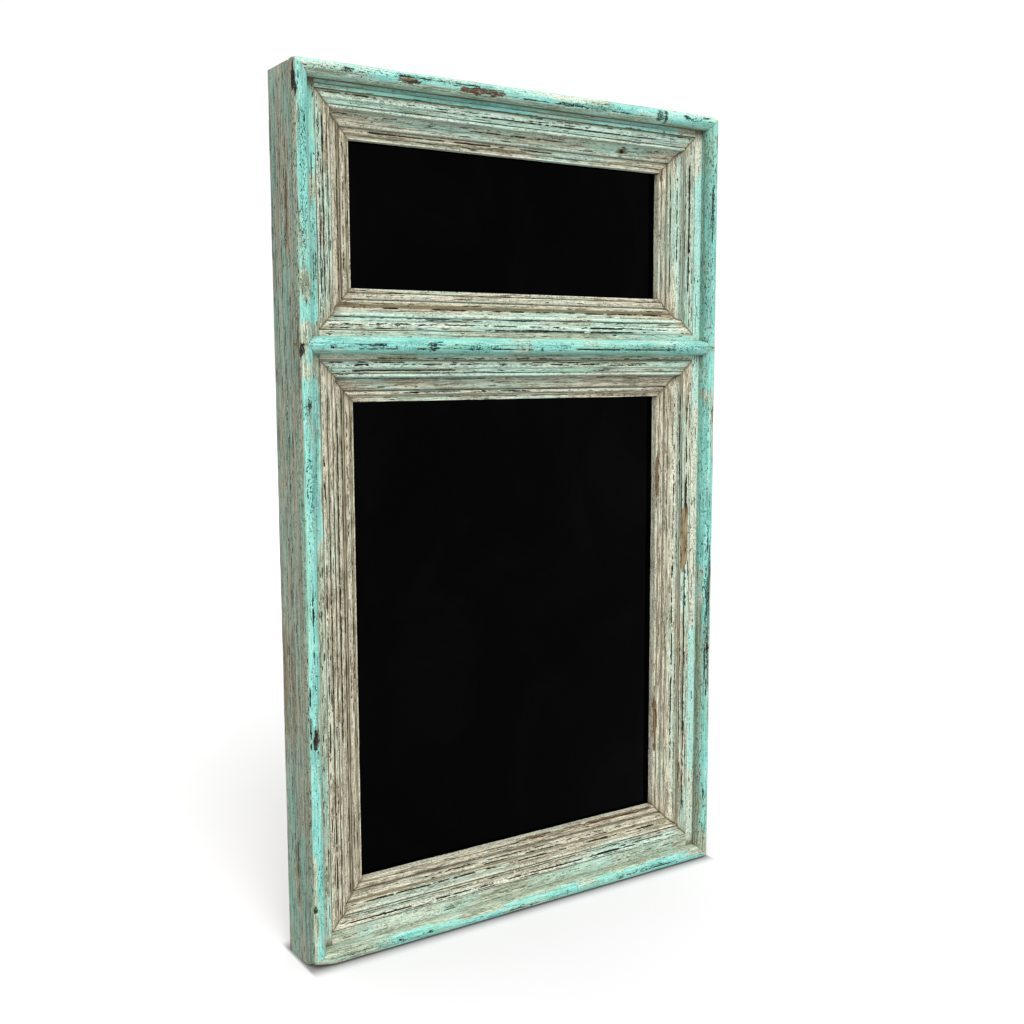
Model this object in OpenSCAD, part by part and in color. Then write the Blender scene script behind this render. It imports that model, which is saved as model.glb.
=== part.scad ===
// Wall mirror with two plates in a deep, painted timber frame.
// A box of stiles and rails is joined with pegged mortises and tenons. Half round
// beads are pinned to its front edges and across the middle rail, and two mitred
// moulding frames are nailed inside it, in front of the mirror plates.
// X runs across the mirror, -Y is the front and +Z is up. The origin is at the
// middle of the width and depth, on the surface that the mirror stands on.

/* [Frame] */
// Width of the whole mirror
frame_w = 610; // [480:1:900]
// Height to the top of the top bead
frame_h = 1028; // [960:1:1400]
// Depth of the stiles and rails from front to back
timber_d = 56.5; // [56:0.5:90]
// Width of each stile, seen from the front
stile_w = 31; // [30:0.5:60]
// Height of the top rail
top_rail_h = 24.5; // [23:0.5:50]
// Height of the middle rail
mid_rail_h = 34; // [33:0.5:60]
// Height of the bottom rail
bottom_rail_h = 36; // [30:0.5:70]
// Height of the centre line of the middle rail
mid_rail_z = 722.5; // [300:0.5:820]
// Radius of the worn outer back edge of each stile
stile_edge_r = 3; // [1:0.5:6]

/* [Mortises, tenons and pegs] */
// Length of each tenon into its stile
tenon_len = 22; // [16:0.5:26]
// Thickness of each tenon from front to back
tenon_t = 18; // [12:0.5:22]
// Wood left between an outer mortise and the end of its stile
tenon_end_wood = 8; // [6:0.5:9]
// Shoulder above and below the middle tenon
tenon_shoulder = 3; // [1:0.5:6]
// Clearance round each tenon in its mortise
tenon_gap = 0.15; // [0.05:0.05:0.3]
// Diameter of the wooden pegs
peg_d = 8; // [6:0.5:9]
// Wood left in front of each peg, which is driven in from the back
peg_cover = 10; // [9:0.5:14]

/* [Beads] */
// Width of the half round beads
bead_w = 19.3; // [16:0.1:22]
// How far the beads stand out from the stiles and rails
bead_proud = 16; // [12:0.5:20]
// How far the top bead stands above the top of the frame
top_bead_lift = 3.5; // [0:0.5:5]
// Length of the short piece at the right end of the top bead
top_bead_short_len = 99; // [60:1:160]
// Radius of the worn outer corners of the bead frame
bead_corner_r = 7; // [2:0.5:9]
// Gap between two bead or moulding ends at a mitre
mitre_gap = 0.3; // [0.1:0.1:0.8]

/* [Moulding] */
// Thickness of the moulding, from its back to the face of the frame
moulding_d = 27.6; // [25:0.1:32]
// Width of the outer crowned band
band_w = 9.4; // [7:0.1:12]
// Radius of the crown of the outer band
band_r = 24; // [20:1:40]
// Width of the flat next to the band
flat_w = 4.8; // [3:0.1:7]
// How far the flat lies below the face of the frame
flat_drop = 1.9; // [1.2:0.1:2.6]
// Radius of the raised reed
reed_r = 2.6; // [2:0.1:3.2]
// How far the crest of the reed lies below the face of the frame
reed_drop = 1.2; // [0.5:0.1:1.8]
// Radius of the hollow cove
cove_r = 9; // [7:0.1:9.5]
// Width of the step between the cove and the ovolo
step_w = 3; // [1:0.1:5]
// Height of the step above the back of the moulding
step_h = 14.2; // [13.5:0.1:14.6]
// Radius of the ovolo
ovolo_r = 2.6; // [1.5:0.1:4]
// Width of the deep groove inside the ovolo
groove_w = 1.2; // [0.5:0.1:2.5]
// Height of the bottom of the groove above the back of the moulding
groove_h = 7.5; // [6:0.1:10.2]
// Width of the flat astragal next to the lip
astragal_w = 7.6; // [6:0.1:10]
// Rise of the astragal above its own edges
astragal_rise = 2; // [1:0.1:2.6]
// Width of the lip round the glass
lip_w = 4.7; // [3:0.1:8]
// Thickness of the lip in front of the glass
lip_t = 10.7; // [10.4:0.1:12]
// Depth of the fine cut lines between the members
quirk_d = 0.7; // [0.4:0.1:1]
// Gap between the moulding and the timber round it
moulding_gap = 0.3; // [0.1:0.1:0.6]

/* [Mirror plates and backs] */
// Thickness of the mirror plates
plate_t = 4; // [3:0.5:5]
// Thickness of the plywood back boards
board_t = 5; // [3:0.5:6]
// Clearance between the plates, or the boards, and the timber round them
plate_gap = 1; // [0.5:0.1:3]
// Width and depth of the square strips that hold the boards in
strip_w = 10; // [8:0.5:12]
// Clearance between the ends of two strips
strip_gap = 0.3; // [0.1:0.1:1]

/* [Pins and nails] */
// Diameter of the pins that hold the beads
pin_d = 1.8; // [1.4:0.1:2.2]
// Diameter of the pin heads
pin_head_d = 3.2; // [2.8:0.1:4]
// How far the pin heads are set below the crown of the bead
pin_set = 2; // [1:0.5:4]
// Depth that the pins reach into the timber
pin_bite = 22; // [12:0.5:24]
// Diameter of the nails that hold the moulding
nail_d = 2; // [1.6:0.1:2.6]
// Diameter of the nail heads
nail_head_d = 4; // [3:0.1:5]
// Height of the nails above the back of the moulding
nail_h = 20.5; // [19.5:0.1:21]
// Depth that the nails reach into the timber
nail_bite = 14; // [8:0.5:15]
// Diameter of the pins that hold the strips
strip_pin_d = 1.4; // [1:0.1:1.8]
// Depth that the strip pins reach into the timber
strip_pin_bite = 12; // [8:0.5:14]
// Thickness of the pin and nail heads
head_t = 0.8; // [0.5:0.1:1.2]
// Largest distance from one pin or nail to the next
pin_pitch = 220; // [120:5:300]
// Distance of the end pins and nails from the end of their piece
pin_end = 65; // [50:1:90]
// Clearance round pins, nails, pegs and screws in their holes
pin_gap = 0.05; // [0.02:0.01:0.1]

/* [Hangers] */
// Distance of the hanger pivots below the top of the frame
hanger_drop = 175; // [120:1:260]
// Width of the hanger straps
strap_w = 14; // [10:0.5:18]
// Distance from the pivot to the upper screw
strap_screw_1 = 26; // [25:0.5:32]
// Distance from the upper screw to the lower screw
strap_screw_pitch = 18; // [12:0.5:26]
// Thickness of the steel that each strap is folded from
leaf_t = 1.2; // [0.8:0.1:1.4]
// Diameter of the ring wire
ring_wire_d = 3; // [2.5:0.1:3.4]
// Radius of the round end of each ring, on the wire's centre line
ring_r = 10; // [9.5:0.1:12]
// Radius of the bends at the straight end of each ring
ring_bend_r = 2.5; // [2:0.1:2.5]
// Straight length of each ring's sides
ring_leg = 4; // [3:0.1:4.5]
// Running clearance of the ring in its eye, on the radius
ring_gap = 0.08; // [0.04:0.01:0.1]
// Angle between each hanging ring and its strap
ring_tilt = 7; // [6.5:0.1:7]
// Diameter of the hanger screws
screw_d = 4.2; // [3.5:0.1:5]
// Diameter of the screw heads
screw_head_d = 8; // [7:0.1:9]
// Height of the screw heads
screw_head_t = 2.4; // [1.5:0.1:3]
// Depth that the screws reach into the stile
screw_bite = 22; // [14:0.5:24]

/* [Wall bumpers] */
// Diameter of the wall bumpers
bumper_d = 20; // [14:0.5:26]
// Thickness of the wall bumpers
bumper_t = 6.5; // [6.5:0.1:9]
// Height of the bumpers' centres
bumper_z = 24; // [16:0.5:60]

/* [Hidden] */
$fn = 48;
// Small overshoot that keeps a cut clear of the face it starts from
over = 1;

// Colours as they look in daylight
bead_colour = [0.53, 0.80, 0.76];
timber_colour = [0.58, 0.63, 0.57];
moulding_colour = [0.74, 0.72, 0.63];
mirror_colour = [0.05, 0.05, 0.06];
board_colour = [0.66, 0.54, 0.38];
wood_colour = [0.60, 0.47, 0.33];
steel_colour = [0.62, 0.62, 0.60];
rubber_colour = [0.14, 0.14, 0.14];

// Depths, from the crown of the beads to the back of the wall bumpers
crown_y = -(bead_proud + timber_d + bumper_t) / 2;
face_y = crown_y + bead_proud;
back_y = face_y + timber_d;
glass_y = face_y + moulding_d;
board_y = glass_y + plate_t;
strip_y = board_y + board_t;
tenon_y = (face_y + back_y) / 2;

// Heights and half widths of the timber
half_w = frame_w / 2;
inner_x = half_w - stile_w;
timber_top = frame_h - top_bead_lift;
top_rail_z = timber_top - top_rail_h;
mid_rail_low = mid_rail_z - mid_rail_h / 2;
mid_rail_high = mid_rail_z + mid_rail_h / 2;
top_joint_x = half_w - top_bead_short_len;

// Rectangles as left, right, bottom and top
outer_rect = [-half_w, half_w, 0, frame_h];
upper_rect = [-inner_x, inner_x, mid_rail_high, top_rail_z];
lower_rect = [-inner_x, inner_x, bottom_rail_h, mid_rail_low];

// Low and high edges of the tenons
top_tenon = [top_rail_z, timber_top - tenon_end_wood];
mid_tenon = [mid_rail_low + tenon_shoulder, mid_rail_high - tenon_shoulder];
bottom_tenon = [tenon_end_wood, bottom_rail_h];
peg_x = inner_x + tenon_len / 2;
mortise_clear = 1;

// Distances of the moulding members from its outer edge, and its whole width
flat_x = band_w;
reed_x = flat_x + flat_w;
cove_x = reed_x + 2 * reed_r;
step_x = cove_x + cove_r;
ovolo_x = step_x + step_w;
groove_x = ovolo_x + ovolo_r;
astragal_x = groove_x + groove_w;
lip_x = astragal_x + astragal_w;
moulding_w = lip_x + lip_w;
reed_y = moulding_d - reed_drop - reed_r;
ovolo_y = step_h - ovolo_r;
astragal_y = lip_t - 0.3;
astragal_r = (astragal_w * astragal_w / 4 + astragal_rise * astragal_rise)
    / (2 * astragal_rise);
band_crown_x = 1;
// The nails go in through the cove, square to the edge of the moulding
nail_x = cove_x - head_t;

// Hanger places and the ring's pivot
bead_r = bead_w / 2;
pivot_x = half_w - stile_w / 2;
eye_r = ring_wire_d / 2 + ring_gap + leaf_t;
pivot_y = back_y + eye_r;
pivot_z = timber_top - hanger_drop;
ring_half_w = ring_r;
strap_screws = [strap_screw_1, strap_screw_1 + strap_screw_pitch];

// Evenly spaced places from a to b, no further apart than the pitch
function spots(a, b) =
    let (n = max(1, ceil((b - a) / pin_pitch)))
    [for (i = [0 : n]) a + i * (b - a) / n];
// Distance of the end pin from the end of a piece of the given length
function end_gap(len) = min(pin_end, len / 3);
function run_spots(len) = spots(-len / 2 + end_gap(len), len / 2 - end_gap(len));
// Length of one edge of a rectangle
function edge_len(edge, r) =
    (edge == "top" || edge == "bottom") ? r[1] - r[0] : r[3] - r[2];
function inset(r, g) = [r[0] + g, r[1] - g, r[2] + g, r[3] - g];

// Centres of the bead pins along the beads
side_pin_z = concat(spots(pin_end, mid_rail_z - pin_end),
    spots(mid_rail_z + pin_end, frame_h - pin_end));
cross_pin_x = spots(-half_w + pin_end, half_w - pin_end);
long_pin_x = spots(-half_w + pin_end, top_joint_x - pin_end);
short_pin_x = [top_joint_x + top_bead_short_len / 3];

// Moves its children to one edge of a rectangle, with X along that edge and Z inward
module on_edge(edge, r) {
    if (edge == "bottom") translate([(r[0] + r[1]) / 2, 0, r[2]]) children();
    if (edge == "top") translate([(r[0] + r[1]) / 2, 0, r[3]]) rotate([0, 180, 0]) children();
    if (edge == "left") translate([r[0], 0, (r[2] + r[3]) / 2]) rotate([0, 90, 0]) children();
    if (edge == "right") translate([r[1], 0, (r[2] + r[3]) / 2]) rotate([0, -90, 0]) children();
}

// A block given by its low and high corners
module block(low, high) {
    translate(low) cube(high - low);
}

// A rod along Y
module y_rod(d, y1, y2) {
    translate([0, y1, 0]) rotate([-90, 0, 0]) cylinder(d = d, h = y2 - y1);
}

// Carries a section along an edge. In the section x runs inward from the edge and
// y runs from its back face to the front. Both ends are mitred.
module mitred_run(len, w, back, deep) {
    slack = w + over;
    reach = len / 2 - mitre_gap / 2;
    intersection() {
        translate([-len / 2, back, 0]) rotate([180, -90, 0]) linear_extrude(len) children();
        translate([0, back + over, 0]) rotate([90, 0, 0]) linear_extrude(deep + 2 * over)
            polygon([[-reach - over, -over], [reach + over, -over],
                [reach - slack, slack], [-reach + slack, slack]]);
    }
}

// Section of the beads: a half round on a short straight wall
module bead_section() {
    wall = bead_proud - bead_r;
    square([bead_w, wall]);
    intersection() {
        square([bead_w, bead_proud]);
        translate([bead_r, wall]) circle(r = bead_r);
    }
}

// Section of the moulding, from its outer edge to the lip round the glass
module moulding_section() {
    difference() {
        union() {
            polygon([[0, 0], [moulding_w, 0], [moulding_w, lip_t], [lip_x, lip_t],
                [lip_x, astragal_y], [astragal_x, astragal_y], [astragal_x, groove_h],
                [groove_x, groove_h], [groove_x, ovolo_y], [ovolo_x, ovolo_y],
                [ovolo_x, step_h], [step_x, step_h], [step_x, reed_y],
                [reed_x, reed_y], [reed_x, moulding_d - flat_drop],
                [0, moulding_d - flat_drop]]);
            intersection() {
                square([band_w, moulding_d]);
                translate([band_crown_x, moulding_d - band_r]) circle(r = band_r, $fn = 120);
            }
            translate([reed_x + reed_r, reed_y]) circle(r = reed_r);
            translate([ovolo_x, ovolo_y]) circle(r = ovolo_r);
            intersection() {
                translate([astragal_x + astragal_w / 2, astragal_y + astragal_rise - astragal_r])
                    circle(r = astragal_r);
                translate([astragal_x, astragal_y - over]) square([astragal_w, astragal_rise + 2 * over]);
            }
        }
        translate([step_x, step_h + cove_r]) circle(r = cove_r);
        translate([flat_x, moulding_d - flat_drop]) quirk();
        translate([lip_x, astragal_y]) quirk();
    }
}

// A fine V cut, with its point below the origin
module quirk() {
    polygon([[-quirk_d, quirk_d], [0, -quirk_d], [quirk_d, quirk_d]]);
}

// Notch in a side bead, or the point of the middle bead that fills it. The apex lies
// on the centre line of the side bead at the given X, and dir points away from it.
module bead_point(apex_x, dir, grow) {
    reach = bead_w;
    translate([apex_x - dir * grow, crown_y - over, mid_rail_z]) rotate([-90, 0, 0])
        linear_extrude(bead_proud + over)
            polygon([[0, 0], [dir * reach, reach], [dir * reach, -reach]]);
}

// Pin through a bead into the timber, or its hole when gap is not zero
module bead_pin(gap = 0) {
    y_rod(pin_d + 2 * gap, crown_y + pin_set, face_y + pin_bite + gap);
    y_rod(pin_head_d + 2 * gap, crown_y + pin_set, crown_y + pin_set + head_t + gap);
}

// Hole for a bead pin, open to the crown of the bead
module bead_pin_hole() {
    bead_pin(pin_gap);
    y_rod(pin_head_d + 2 * pin_gap, crown_y - over, crown_y + pin_set + over / 2);
}

// Nail or pin driven from a height w above an edge down into the timber beyond it
module edge_nail(d, head_d, w, bite, y, gap = 0) {
    translate([0, y, -bite - gap]) cylinder(d = d + 2 * gap, h = w + bite + head_t + gap);
    translate([0, y, w - gap]) cylinder(d = head_d + 2 * gap, h = head_t + gap);
}

// Nails of one moulding length, in the place of that edge
module nails_of(edge, r, gap = 0) {
    run = inset(r, moulding_gap);
    on_edge(edge, run) for (s = run_spots(edge_len(edge, run)))
        translate([s, 0, 0])
            edge_nail(nail_d, nail_head_d, nail_x, nail_bite, glass_y - nail_h, gap);
}

// Their holes, open to the cove
module nail_holes_of(edge, r) {
    nails_of(edge, r, pin_gap);
    run = inset(r, moulding_gap);
    on_edge(edge, run) for (s = run_spots(edge_len(edge, run)))
        translate([s, glass_y - nail_h, nail_x])
            cylinder(d = nail_head_d + 2 * pin_gap, h = cove_r);
}

// Pins of one back strip, through the strip into the timber
module strip_pins_of(edge, r, gap = 0) {
    on_edge(edge, r) for (s = run_spots(edge_len(edge, r)))
        translate([s, 0, 0]) edge_nail(strip_pin_d, strip_pin_d, strip_w - head_t,
            strip_pin_bite, strip_y + strip_w / 2, gap);
}

// Peg through one joint at the given height, on the side given by its sign
module peg(side, tenon, gap = 0) {
    translate([side * peg_x, 0, (tenon[0] + tenon[1]) / 2])
        y_rod(peg_d + 2 * gap, face_y + peg_cover - gap, back_y + (gap > 0 ? over : 0));
}

// Hole for one peg
module peg_hole(side, tenon) {
    peg(side, tenon, pin_gap);
}

// Space for one tenon in a stile
module mortise(side, tenon) {
    x1 = side > 0 ? inner_x - over : -inner_x - tenon_len - mortise_clear;
    x2 = side > 0 ? inner_x + tenon_len + mortise_clear : -inner_x + over;
    block([x1, tenon_y - tenon_t / 2 - tenon_gap, tenon[0] - tenon_gap],
        [x2, tenon_y + tenon_t / 2 + tenon_gap, tenon[1] + tenon_gap]);
}

// Both tenons of a rail
module tenons(tenon) {
    block([-inner_x - tenon_len, tenon_y - tenon_t / 2, tenon[0]],
        [inner_x + tenon_len, tenon_y + tenon_t / 2, tenon[1]]);
}

// Stile on the side given by its sign, and the name of the edge that it stands at
module stile(side, edge) {
    tenon_list = [top_tenon, mid_tenon, bottom_tenon];
    color(timber_colour) difference() {
        on_side(side) linear_extrude(timber_top) stile_section();
        for (t = tenon_list) mortise(side, t);
        for (t = tenon_list) peg_hole(side, t);
        for (z = side_pin_z) translate([side * (half_w - bead_r), 0, z]) bead_pin_hole();
        for (r = [upper_rect, lower_rect]) {
            nail_holes_of(edge, r);
            strip_pins_of(edge, r, pin_gap);
        }
        hanger_screws_of(side, pin_gap);
    }
}

// Leaves its children on the right, or mirrors them to the left where side is negative
module on_side(side) {
    if (side > 0) children();
    if (side < 0) mirror([1, 0, 0]) children();
}

// Plan of the right stile, with its outer back edge rounded
module stile_section() {
    ease_x = half_w - stile_edge_r;
    ease_y = back_y - stile_edge_r;
    polygon([[inner_x, face_y], [half_w, face_y], [half_w, ease_y], [ease_x, back_y],
        [inner_x, back_y]]);
    translate([ease_x, ease_y]) circle(r = stile_edge_r);
}

module stile_left() { stile(-1, "left"); }
module stile_right() { stile(1, "right"); }

// Body and tenons of a rail, with the holes of its pegs
module rail_blank(low, high, tenon) {
    difference() {
        union() {
            block([-inner_x, face_y, low], [inner_x, back_y, high]);
            tenons(tenon);
        }
        for (side = [-1, 1]) peg_hole(side, tenon);
    }
}

module rail_top() {
    color(timber_colour) difference() {
        rail_blank(top_rail_z, timber_top, top_tenon);
        for (x = concat(long_pin_x, short_pin_x)) translate([x, 0, frame_h - bead_r]) bead_pin_hole();
        nail_holes_of("top", upper_rect);
        strip_pins_of("top", upper_rect, pin_gap);
    }
}

module rail_middle() {
    color(timber_colour) difference() {
        rail_blank(mid_rail_low, mid_rail_high, mid_tenon);
        for (x = cross_pin_x) translate([x, 0, mid_rail_z]) bead_pin_hole();
        nail_holes_of("bottom", upper_rect);
        nail_holes_of("top", lower_rect);
        strip_pins_of("bottom", upper_rect, pin_gap);
        strip_pins_of("top", lower_rect, pin_gap);
    }
}

module rail_bottom() {
    color(timber_colour) difference() {
        rail_blank(0, bottom_rail_h, bottom_tenon);
        for (x = cross_pin_x) translate([x, 0, bead_r]) bead_pin_hole();
        nail_holes_of("bottom", lower_rect);
        strip_pins_of("bottom", lower_rect, pin_gap);
    }
}

// Mitred bead along one outer edge, worn round at the corners of the frame
module bead_run(edge) {
    intersection() {
        on_edge(edge, outer_rect)
            mitred_run(edge_len(edge, outer_rect), bead_w, face_y, bead_proud) bead_section();
        translate([0, face_y + over, 0]) rotate([90, 0, 0])
            linear_extrude(bead_proud + 2 * over) worn_outline(outer_rect, bead_corner_r);
    }
}

// A rectangle with its corners rounded, drawn with its height along Y
module worn_outline(r, radius) {
    low = [r[0], r[2]];
    size = [r[1] - r[0], r[3] - r[2]];
    translate(low + [radius, 0]) square([size[0] - 2 * radius, size[1]]);
    translate(low + [0, radius]) square([size[0], size[1] - 2 * radius]);
    for (x = [radius, size[0] - radius]) for (z = [radius, size[1] - radius])
        translate(low + [x, z]) circle(r = radius);
}

// Side bead, notched for the point of the middle bead
module side_bead(side, edge) {
    color(bead_colour) difference() {
        bead_run(edge);
        bead_point(side * (half_w - bead_r), -side, mitre_gap);
        for (z = side_pin_z) translate([side * (half_w - bead_r), 0, z]) bead_pin_hole();
    }
}

module bead_left() { side_bead(-1, "left"); }
module bead_right() { side_bead(1, "right"); }

module bead_top_long() {
    color(bead_colour) difference() {
        bead_run("top");
        block([top_joint_x - mitre_gap / 2, crown_y - over, frame_h - bead_w - over],
            [half_w + over, face_y + over, frame_h + over]);
        for (x = long_pin_x) translate([x, 0, frame_h - bead_r]) bead_pin_hole();
    }
}

module bead_top_short() {
    color(bead_colour) difference() {
        bead_run("top");
        block([-half_w - over, crown_y - over, frame_h - bead_w - over],
            [top_joint_x + mitre_gap / 2, face_y + over, frame_h + over]);
        for (x = short_pin_x) translate([x, 0, frame_h - bead_r]) bead_pin_hole();
    }
}

// Middle bead, cut to a point at each end where it is let into the side beads
module bead_middle() {
    span = frame_w - bead_w;
    color(bead_colour) difference() {
        intersection() {
            translate([-span / 2, face_y, mid_rail_z - bead_r]) rotate([180, -90, 0])
                linear_extrude(span) bead_section();
            translate([0, crown_y - over, mid_rail_z]) rotate([-90, 0, 0])
                linear_extrude(bead_proud + 2 * over)
                    polygon([[-span / 2, 0], [-span / 2 + bead_w, bead_w],
                        [span / 2 - bead_w, bead_w], [span / 2, 0],
                        [span / 2 - bead_w, -bead_w], [-span / 2 + bead_w, -bead_w]]);
        }
        for (x = cross_pin_x) translate([x, 0, mid_rail_z]) bead_pin_hole();
    }
}

module bead_bottom() {
    color(bead_colour) difference() {
        bead_run("bottom");
        for (x = cross_pin_x) translate([x, 0, bead_r]) bead_pin_hole();
    }
}

// One mitred length of moulding inside a rectangle of timber
module moulding(edge, r) {
    run = inset(r, moulding_gap);
    color(moulding_colour) difference() {
        on_edge(edge, run)
            mitred_run(edge_len(edge, run), moulding_w, glass_y, moulding_d) moulding_section();
        nail_holes_of(edge, r);
    }
}

module moulding_upper_top() { moulding("top", upper_rect); }
module moulding_upper_bottom() { moulding("bottom", upper_rect); }
module moulding_upper_left() { moulding("left", upper_rect); }
module moulding_upper_right() { moulding("right", upper_rect); }
module moulding_lower_top() { moulding("top", lower_rect); }
module moulding_lower_bottom() { moulding("bottom", lower_rect); }
module moulding_lower_left() { moulding("left", lower_rect); }
module moulding_lower_right() { moulding("right", lower_rect); }

// A sheet that fills a rectangle with clearance all round
module sheet(r, y, t) {
    s = inset(r, plate_gap);
    block([s[0], y, s[2]], [s[1], y + t, s[3]]);
}

module mirror_upper() { color(mirror_colour) sheet(upper_rect, glass_y, plate_t); }
module mirror_lower() { color(mirror_colour) sheet(lower_rect, glass_y, plate_t); }
module backboard_upper() { color(board_colour) sheet(upper_rect, board_y, board_t); }
module backboard_lower() { color(board_colour) sheet(lower_rect, board_y, board_t); }

// Square strip behind a board. The upright strips stand between the level ones.
module strip(edge, r) {
    cut = (edge == "left" || edge == "right") ? strip_w + strip_gap : 0;
    half = edge_len(edge, r) / 2 - cut;
    color(wood_colour) difference() {
        on_edge(edge, r) block([-half, strip_y, 0], [half, strip_y + strip_w, strip_w]);
        strip_pins_of(edge, r, pin_gap);
    }
}

module strip_upper_top() { strip("top", upper_rect); }
module strip_upper_bottom() { strip("bottom", upper_rect); }
module strip_upper_left() { strip("left", upper_rect); }
module strip_upper_right() { strip("right", upper_rect); }
module strip_lower_top() { strip("top", lower_rect); }
module strip_lower_bottom() { strip("bottom", lower_rect); }
module strip_lower_left() { strip("left", lower_rect); }
module strip_lower_right() { strip("right", lower_rect); }

module joint_pegs() {
    color(wood_colour) for (side = [-1, 1]) for (t = [top_tenon, mid_tenon, bottom_tenon])
        peg(side, t);
}

module bead_pins() {
    color(steel_colour) {
        for (side = [-1, 1]) for (z = side_pin_z)
            translate([side * (half_w - bead_r), 0, z]) bead_pin();
        for (x = concat(long_pin_x, short_pin_x))
            translate([x, 0, frame_h - bead_r]) bead_pin();
        for (x = cross_pin_x) for (z = [mid_rail_z, bead_r]) translate([x, 0, z]) bead_pin();
    }
}

module moulding_nails() {
    color(steel_colour) for (r = [upper_rect, lower_rect])
        for (edge = ["top", "bottom", "left", "right"]) nails_of(edge, r);
}

module strip_pins() {
    color(steel_colour) for (r = [upper_rect, lower_rect])
        for (edge = ["top", "bottom", "left", "right"]) strip_pins_of(edge, r);
}

// Strap folded round its ring and screwed to the back of a stile
module hanger(side) {
    end_z = -strap_screws[1];
    color(steel_colour) translate([side * pivot_x, 0, pivot_z]) difference() {
        union() {
            block([-strap_w / 2, back_y, end_z], [strap_w / 2, back_y + 2 * leaf_t, 0]);
            translate([0, 0, end_z]) y_rod(strap_w, back_y, back_y + 2 * leaf_t);
            translate([-strap_w / 2, pivot_y, 0]) rotate([0, 90, 0]) cylinder(r = eye_r, h = strap_w);
        }
        translate([-strap_w, pivot_y, 0]) rotate([0, 90, 0])
            cylinder(r = ring_wire_d / 2 + ring_gap, h = 2 * strap_w);
        for (s = strap_screws) translate([0, 0, -s])
            y_rod(screw_d + 2 * pin_gap, back_y - over, back_y + 2 * leaf_t + over);
    }
}

module hanger_left() { hanger(-1); }
module hanger_right() { hanger(1); }

// One quarter of a ring corner, as an arc of wire in the XZ plane
module wire_arc(r, start, sweep) {
    rotate([90, 0, 0]) rotate([0, 0, start])
        rotate_extrude(angle = sweep) translate([r, 0]) circle(d = ring_wire_d);
}

// Wire ring with a straight bar in the eye. It hangs down beside its strap.
module hanger_ring(side) {
    side_top = -ring_bend_r;
    side_low = side_top - ring_leg;
    bar = ring_half_w - ring_bend_r;
    color(steel_colour) translate([side * pivot_x, pivot_y, pivot_z]) rotate([ring_tilt, 0, 0]) {
        translate([-bar, 0, 0]) rotate([0, 90, 0]) cylinder(d = ring_wire_d, h = 2 * bar);
        for (s = [-1, 1]) translate([s * ring_half_w, 0, side_low])
            cylinder(d = ring_wire_d, h = ring_leg);
        translate([bar, 0, side_top]) wire_arc(ring_bend_r, 0, 90);
        translate([-bar, 0, side_top]) wire_arc(ring_bend_r, 90, 90);
        translate([0, 0, side_low]) wire_arc(ring_r, 180, 180);
    }
}

module hanger_ring_left() { hanger_ring(-1); }
module hanger_ring_right() { hanger_ring(1); }

// Screws of one hanger, or their holes when gap is not zero
module hanger_screws_of(side, gap = 0) {
    strap_face = back_y + 2 * leaf_t;
    for (s = strap_screws) translate([side * pivot_x, 0, pivot_z - s]) {
        y_rod(screw_d + 2 * gap, back_y - screw_bite - gap, strap_face + over / 2);
        y_rod(screw_head_d, strap_face, strap_face + screw_head_t);
    }
}

module hanger_screws() {
    color(steel_colour) for (side = [-1, 1]) hanger_screws_of(side);
}

// Round pad that keeps the foot of the frame level with the hangers at the wall
module bumper(side) {
    color(rubber_colour) translate([side * pivot_x, 0, bumper_z])
        y_rod(bumper_d, back_y, back_y + bumper_t);
}

module bumper_left() { bumper(-1); }
module bumper_right() { bumper(1); }

stile_left();
stile_right();
rail_top();
rail_middle();
rail_bottom();
bead_left();
bead_right();
bead_top_long();
bead_top_short();
bead_middle();
bead_bottom();
moulding_upper_top();
moulding_upper_bottom();
moulding_upper_left();
moulding_upper_right();
moulding_lower_top();
moulding_lower_bottom();
moulding_lower_left();
moulding_lower_right();
mirror_upper();
mirror_lower();
backboard_upper();
backboard_lower();
strip_upper_top();
strip_upper_bottom();
strip_upper_left();
strip_upper_right();
strip_lower_top();
strip_lower_bottom();
strip_lower_left();
strip_lower_right();
joint_pegs();
bead_pins();
moulding_nails();
strip_pins();
hanger_left();
hanger_right();
hanger_ring_left();
hanger_ring_right();
hanger_screws();
bumper_left();
bumper_right();
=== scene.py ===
"""Looks of a wall mirror: worn paint on carved and moulded timber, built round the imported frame.

The timbers, beads and mouldings are profiles carried along their edges of the frame, with
grain, cracks, chips and worn corners cut into their surface. Every size that the frame
already has is read from it, and what only the surface has is a property below.
"""

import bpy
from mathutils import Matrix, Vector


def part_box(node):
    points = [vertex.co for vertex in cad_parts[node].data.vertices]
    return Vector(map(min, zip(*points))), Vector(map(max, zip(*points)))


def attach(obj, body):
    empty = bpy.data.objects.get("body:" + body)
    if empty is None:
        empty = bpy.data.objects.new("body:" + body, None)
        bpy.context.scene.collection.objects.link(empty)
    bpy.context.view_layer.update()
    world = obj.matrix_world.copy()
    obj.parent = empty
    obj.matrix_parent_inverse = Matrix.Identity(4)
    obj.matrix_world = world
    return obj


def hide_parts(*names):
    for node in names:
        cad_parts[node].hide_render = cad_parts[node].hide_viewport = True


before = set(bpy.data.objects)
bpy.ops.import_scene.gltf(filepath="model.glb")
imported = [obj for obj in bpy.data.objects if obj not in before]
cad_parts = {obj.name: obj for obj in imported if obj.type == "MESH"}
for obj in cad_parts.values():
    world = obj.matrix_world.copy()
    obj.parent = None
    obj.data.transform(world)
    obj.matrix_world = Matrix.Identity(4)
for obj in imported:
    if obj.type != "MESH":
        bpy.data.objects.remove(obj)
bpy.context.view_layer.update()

import copy
import math
from typing import NamedTuple

import bpy
import numpy as np
from bpy.props import FloatProperty, FloatVectorProperty, PointerProperty
from mathutils import Matrix, Vector

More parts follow.
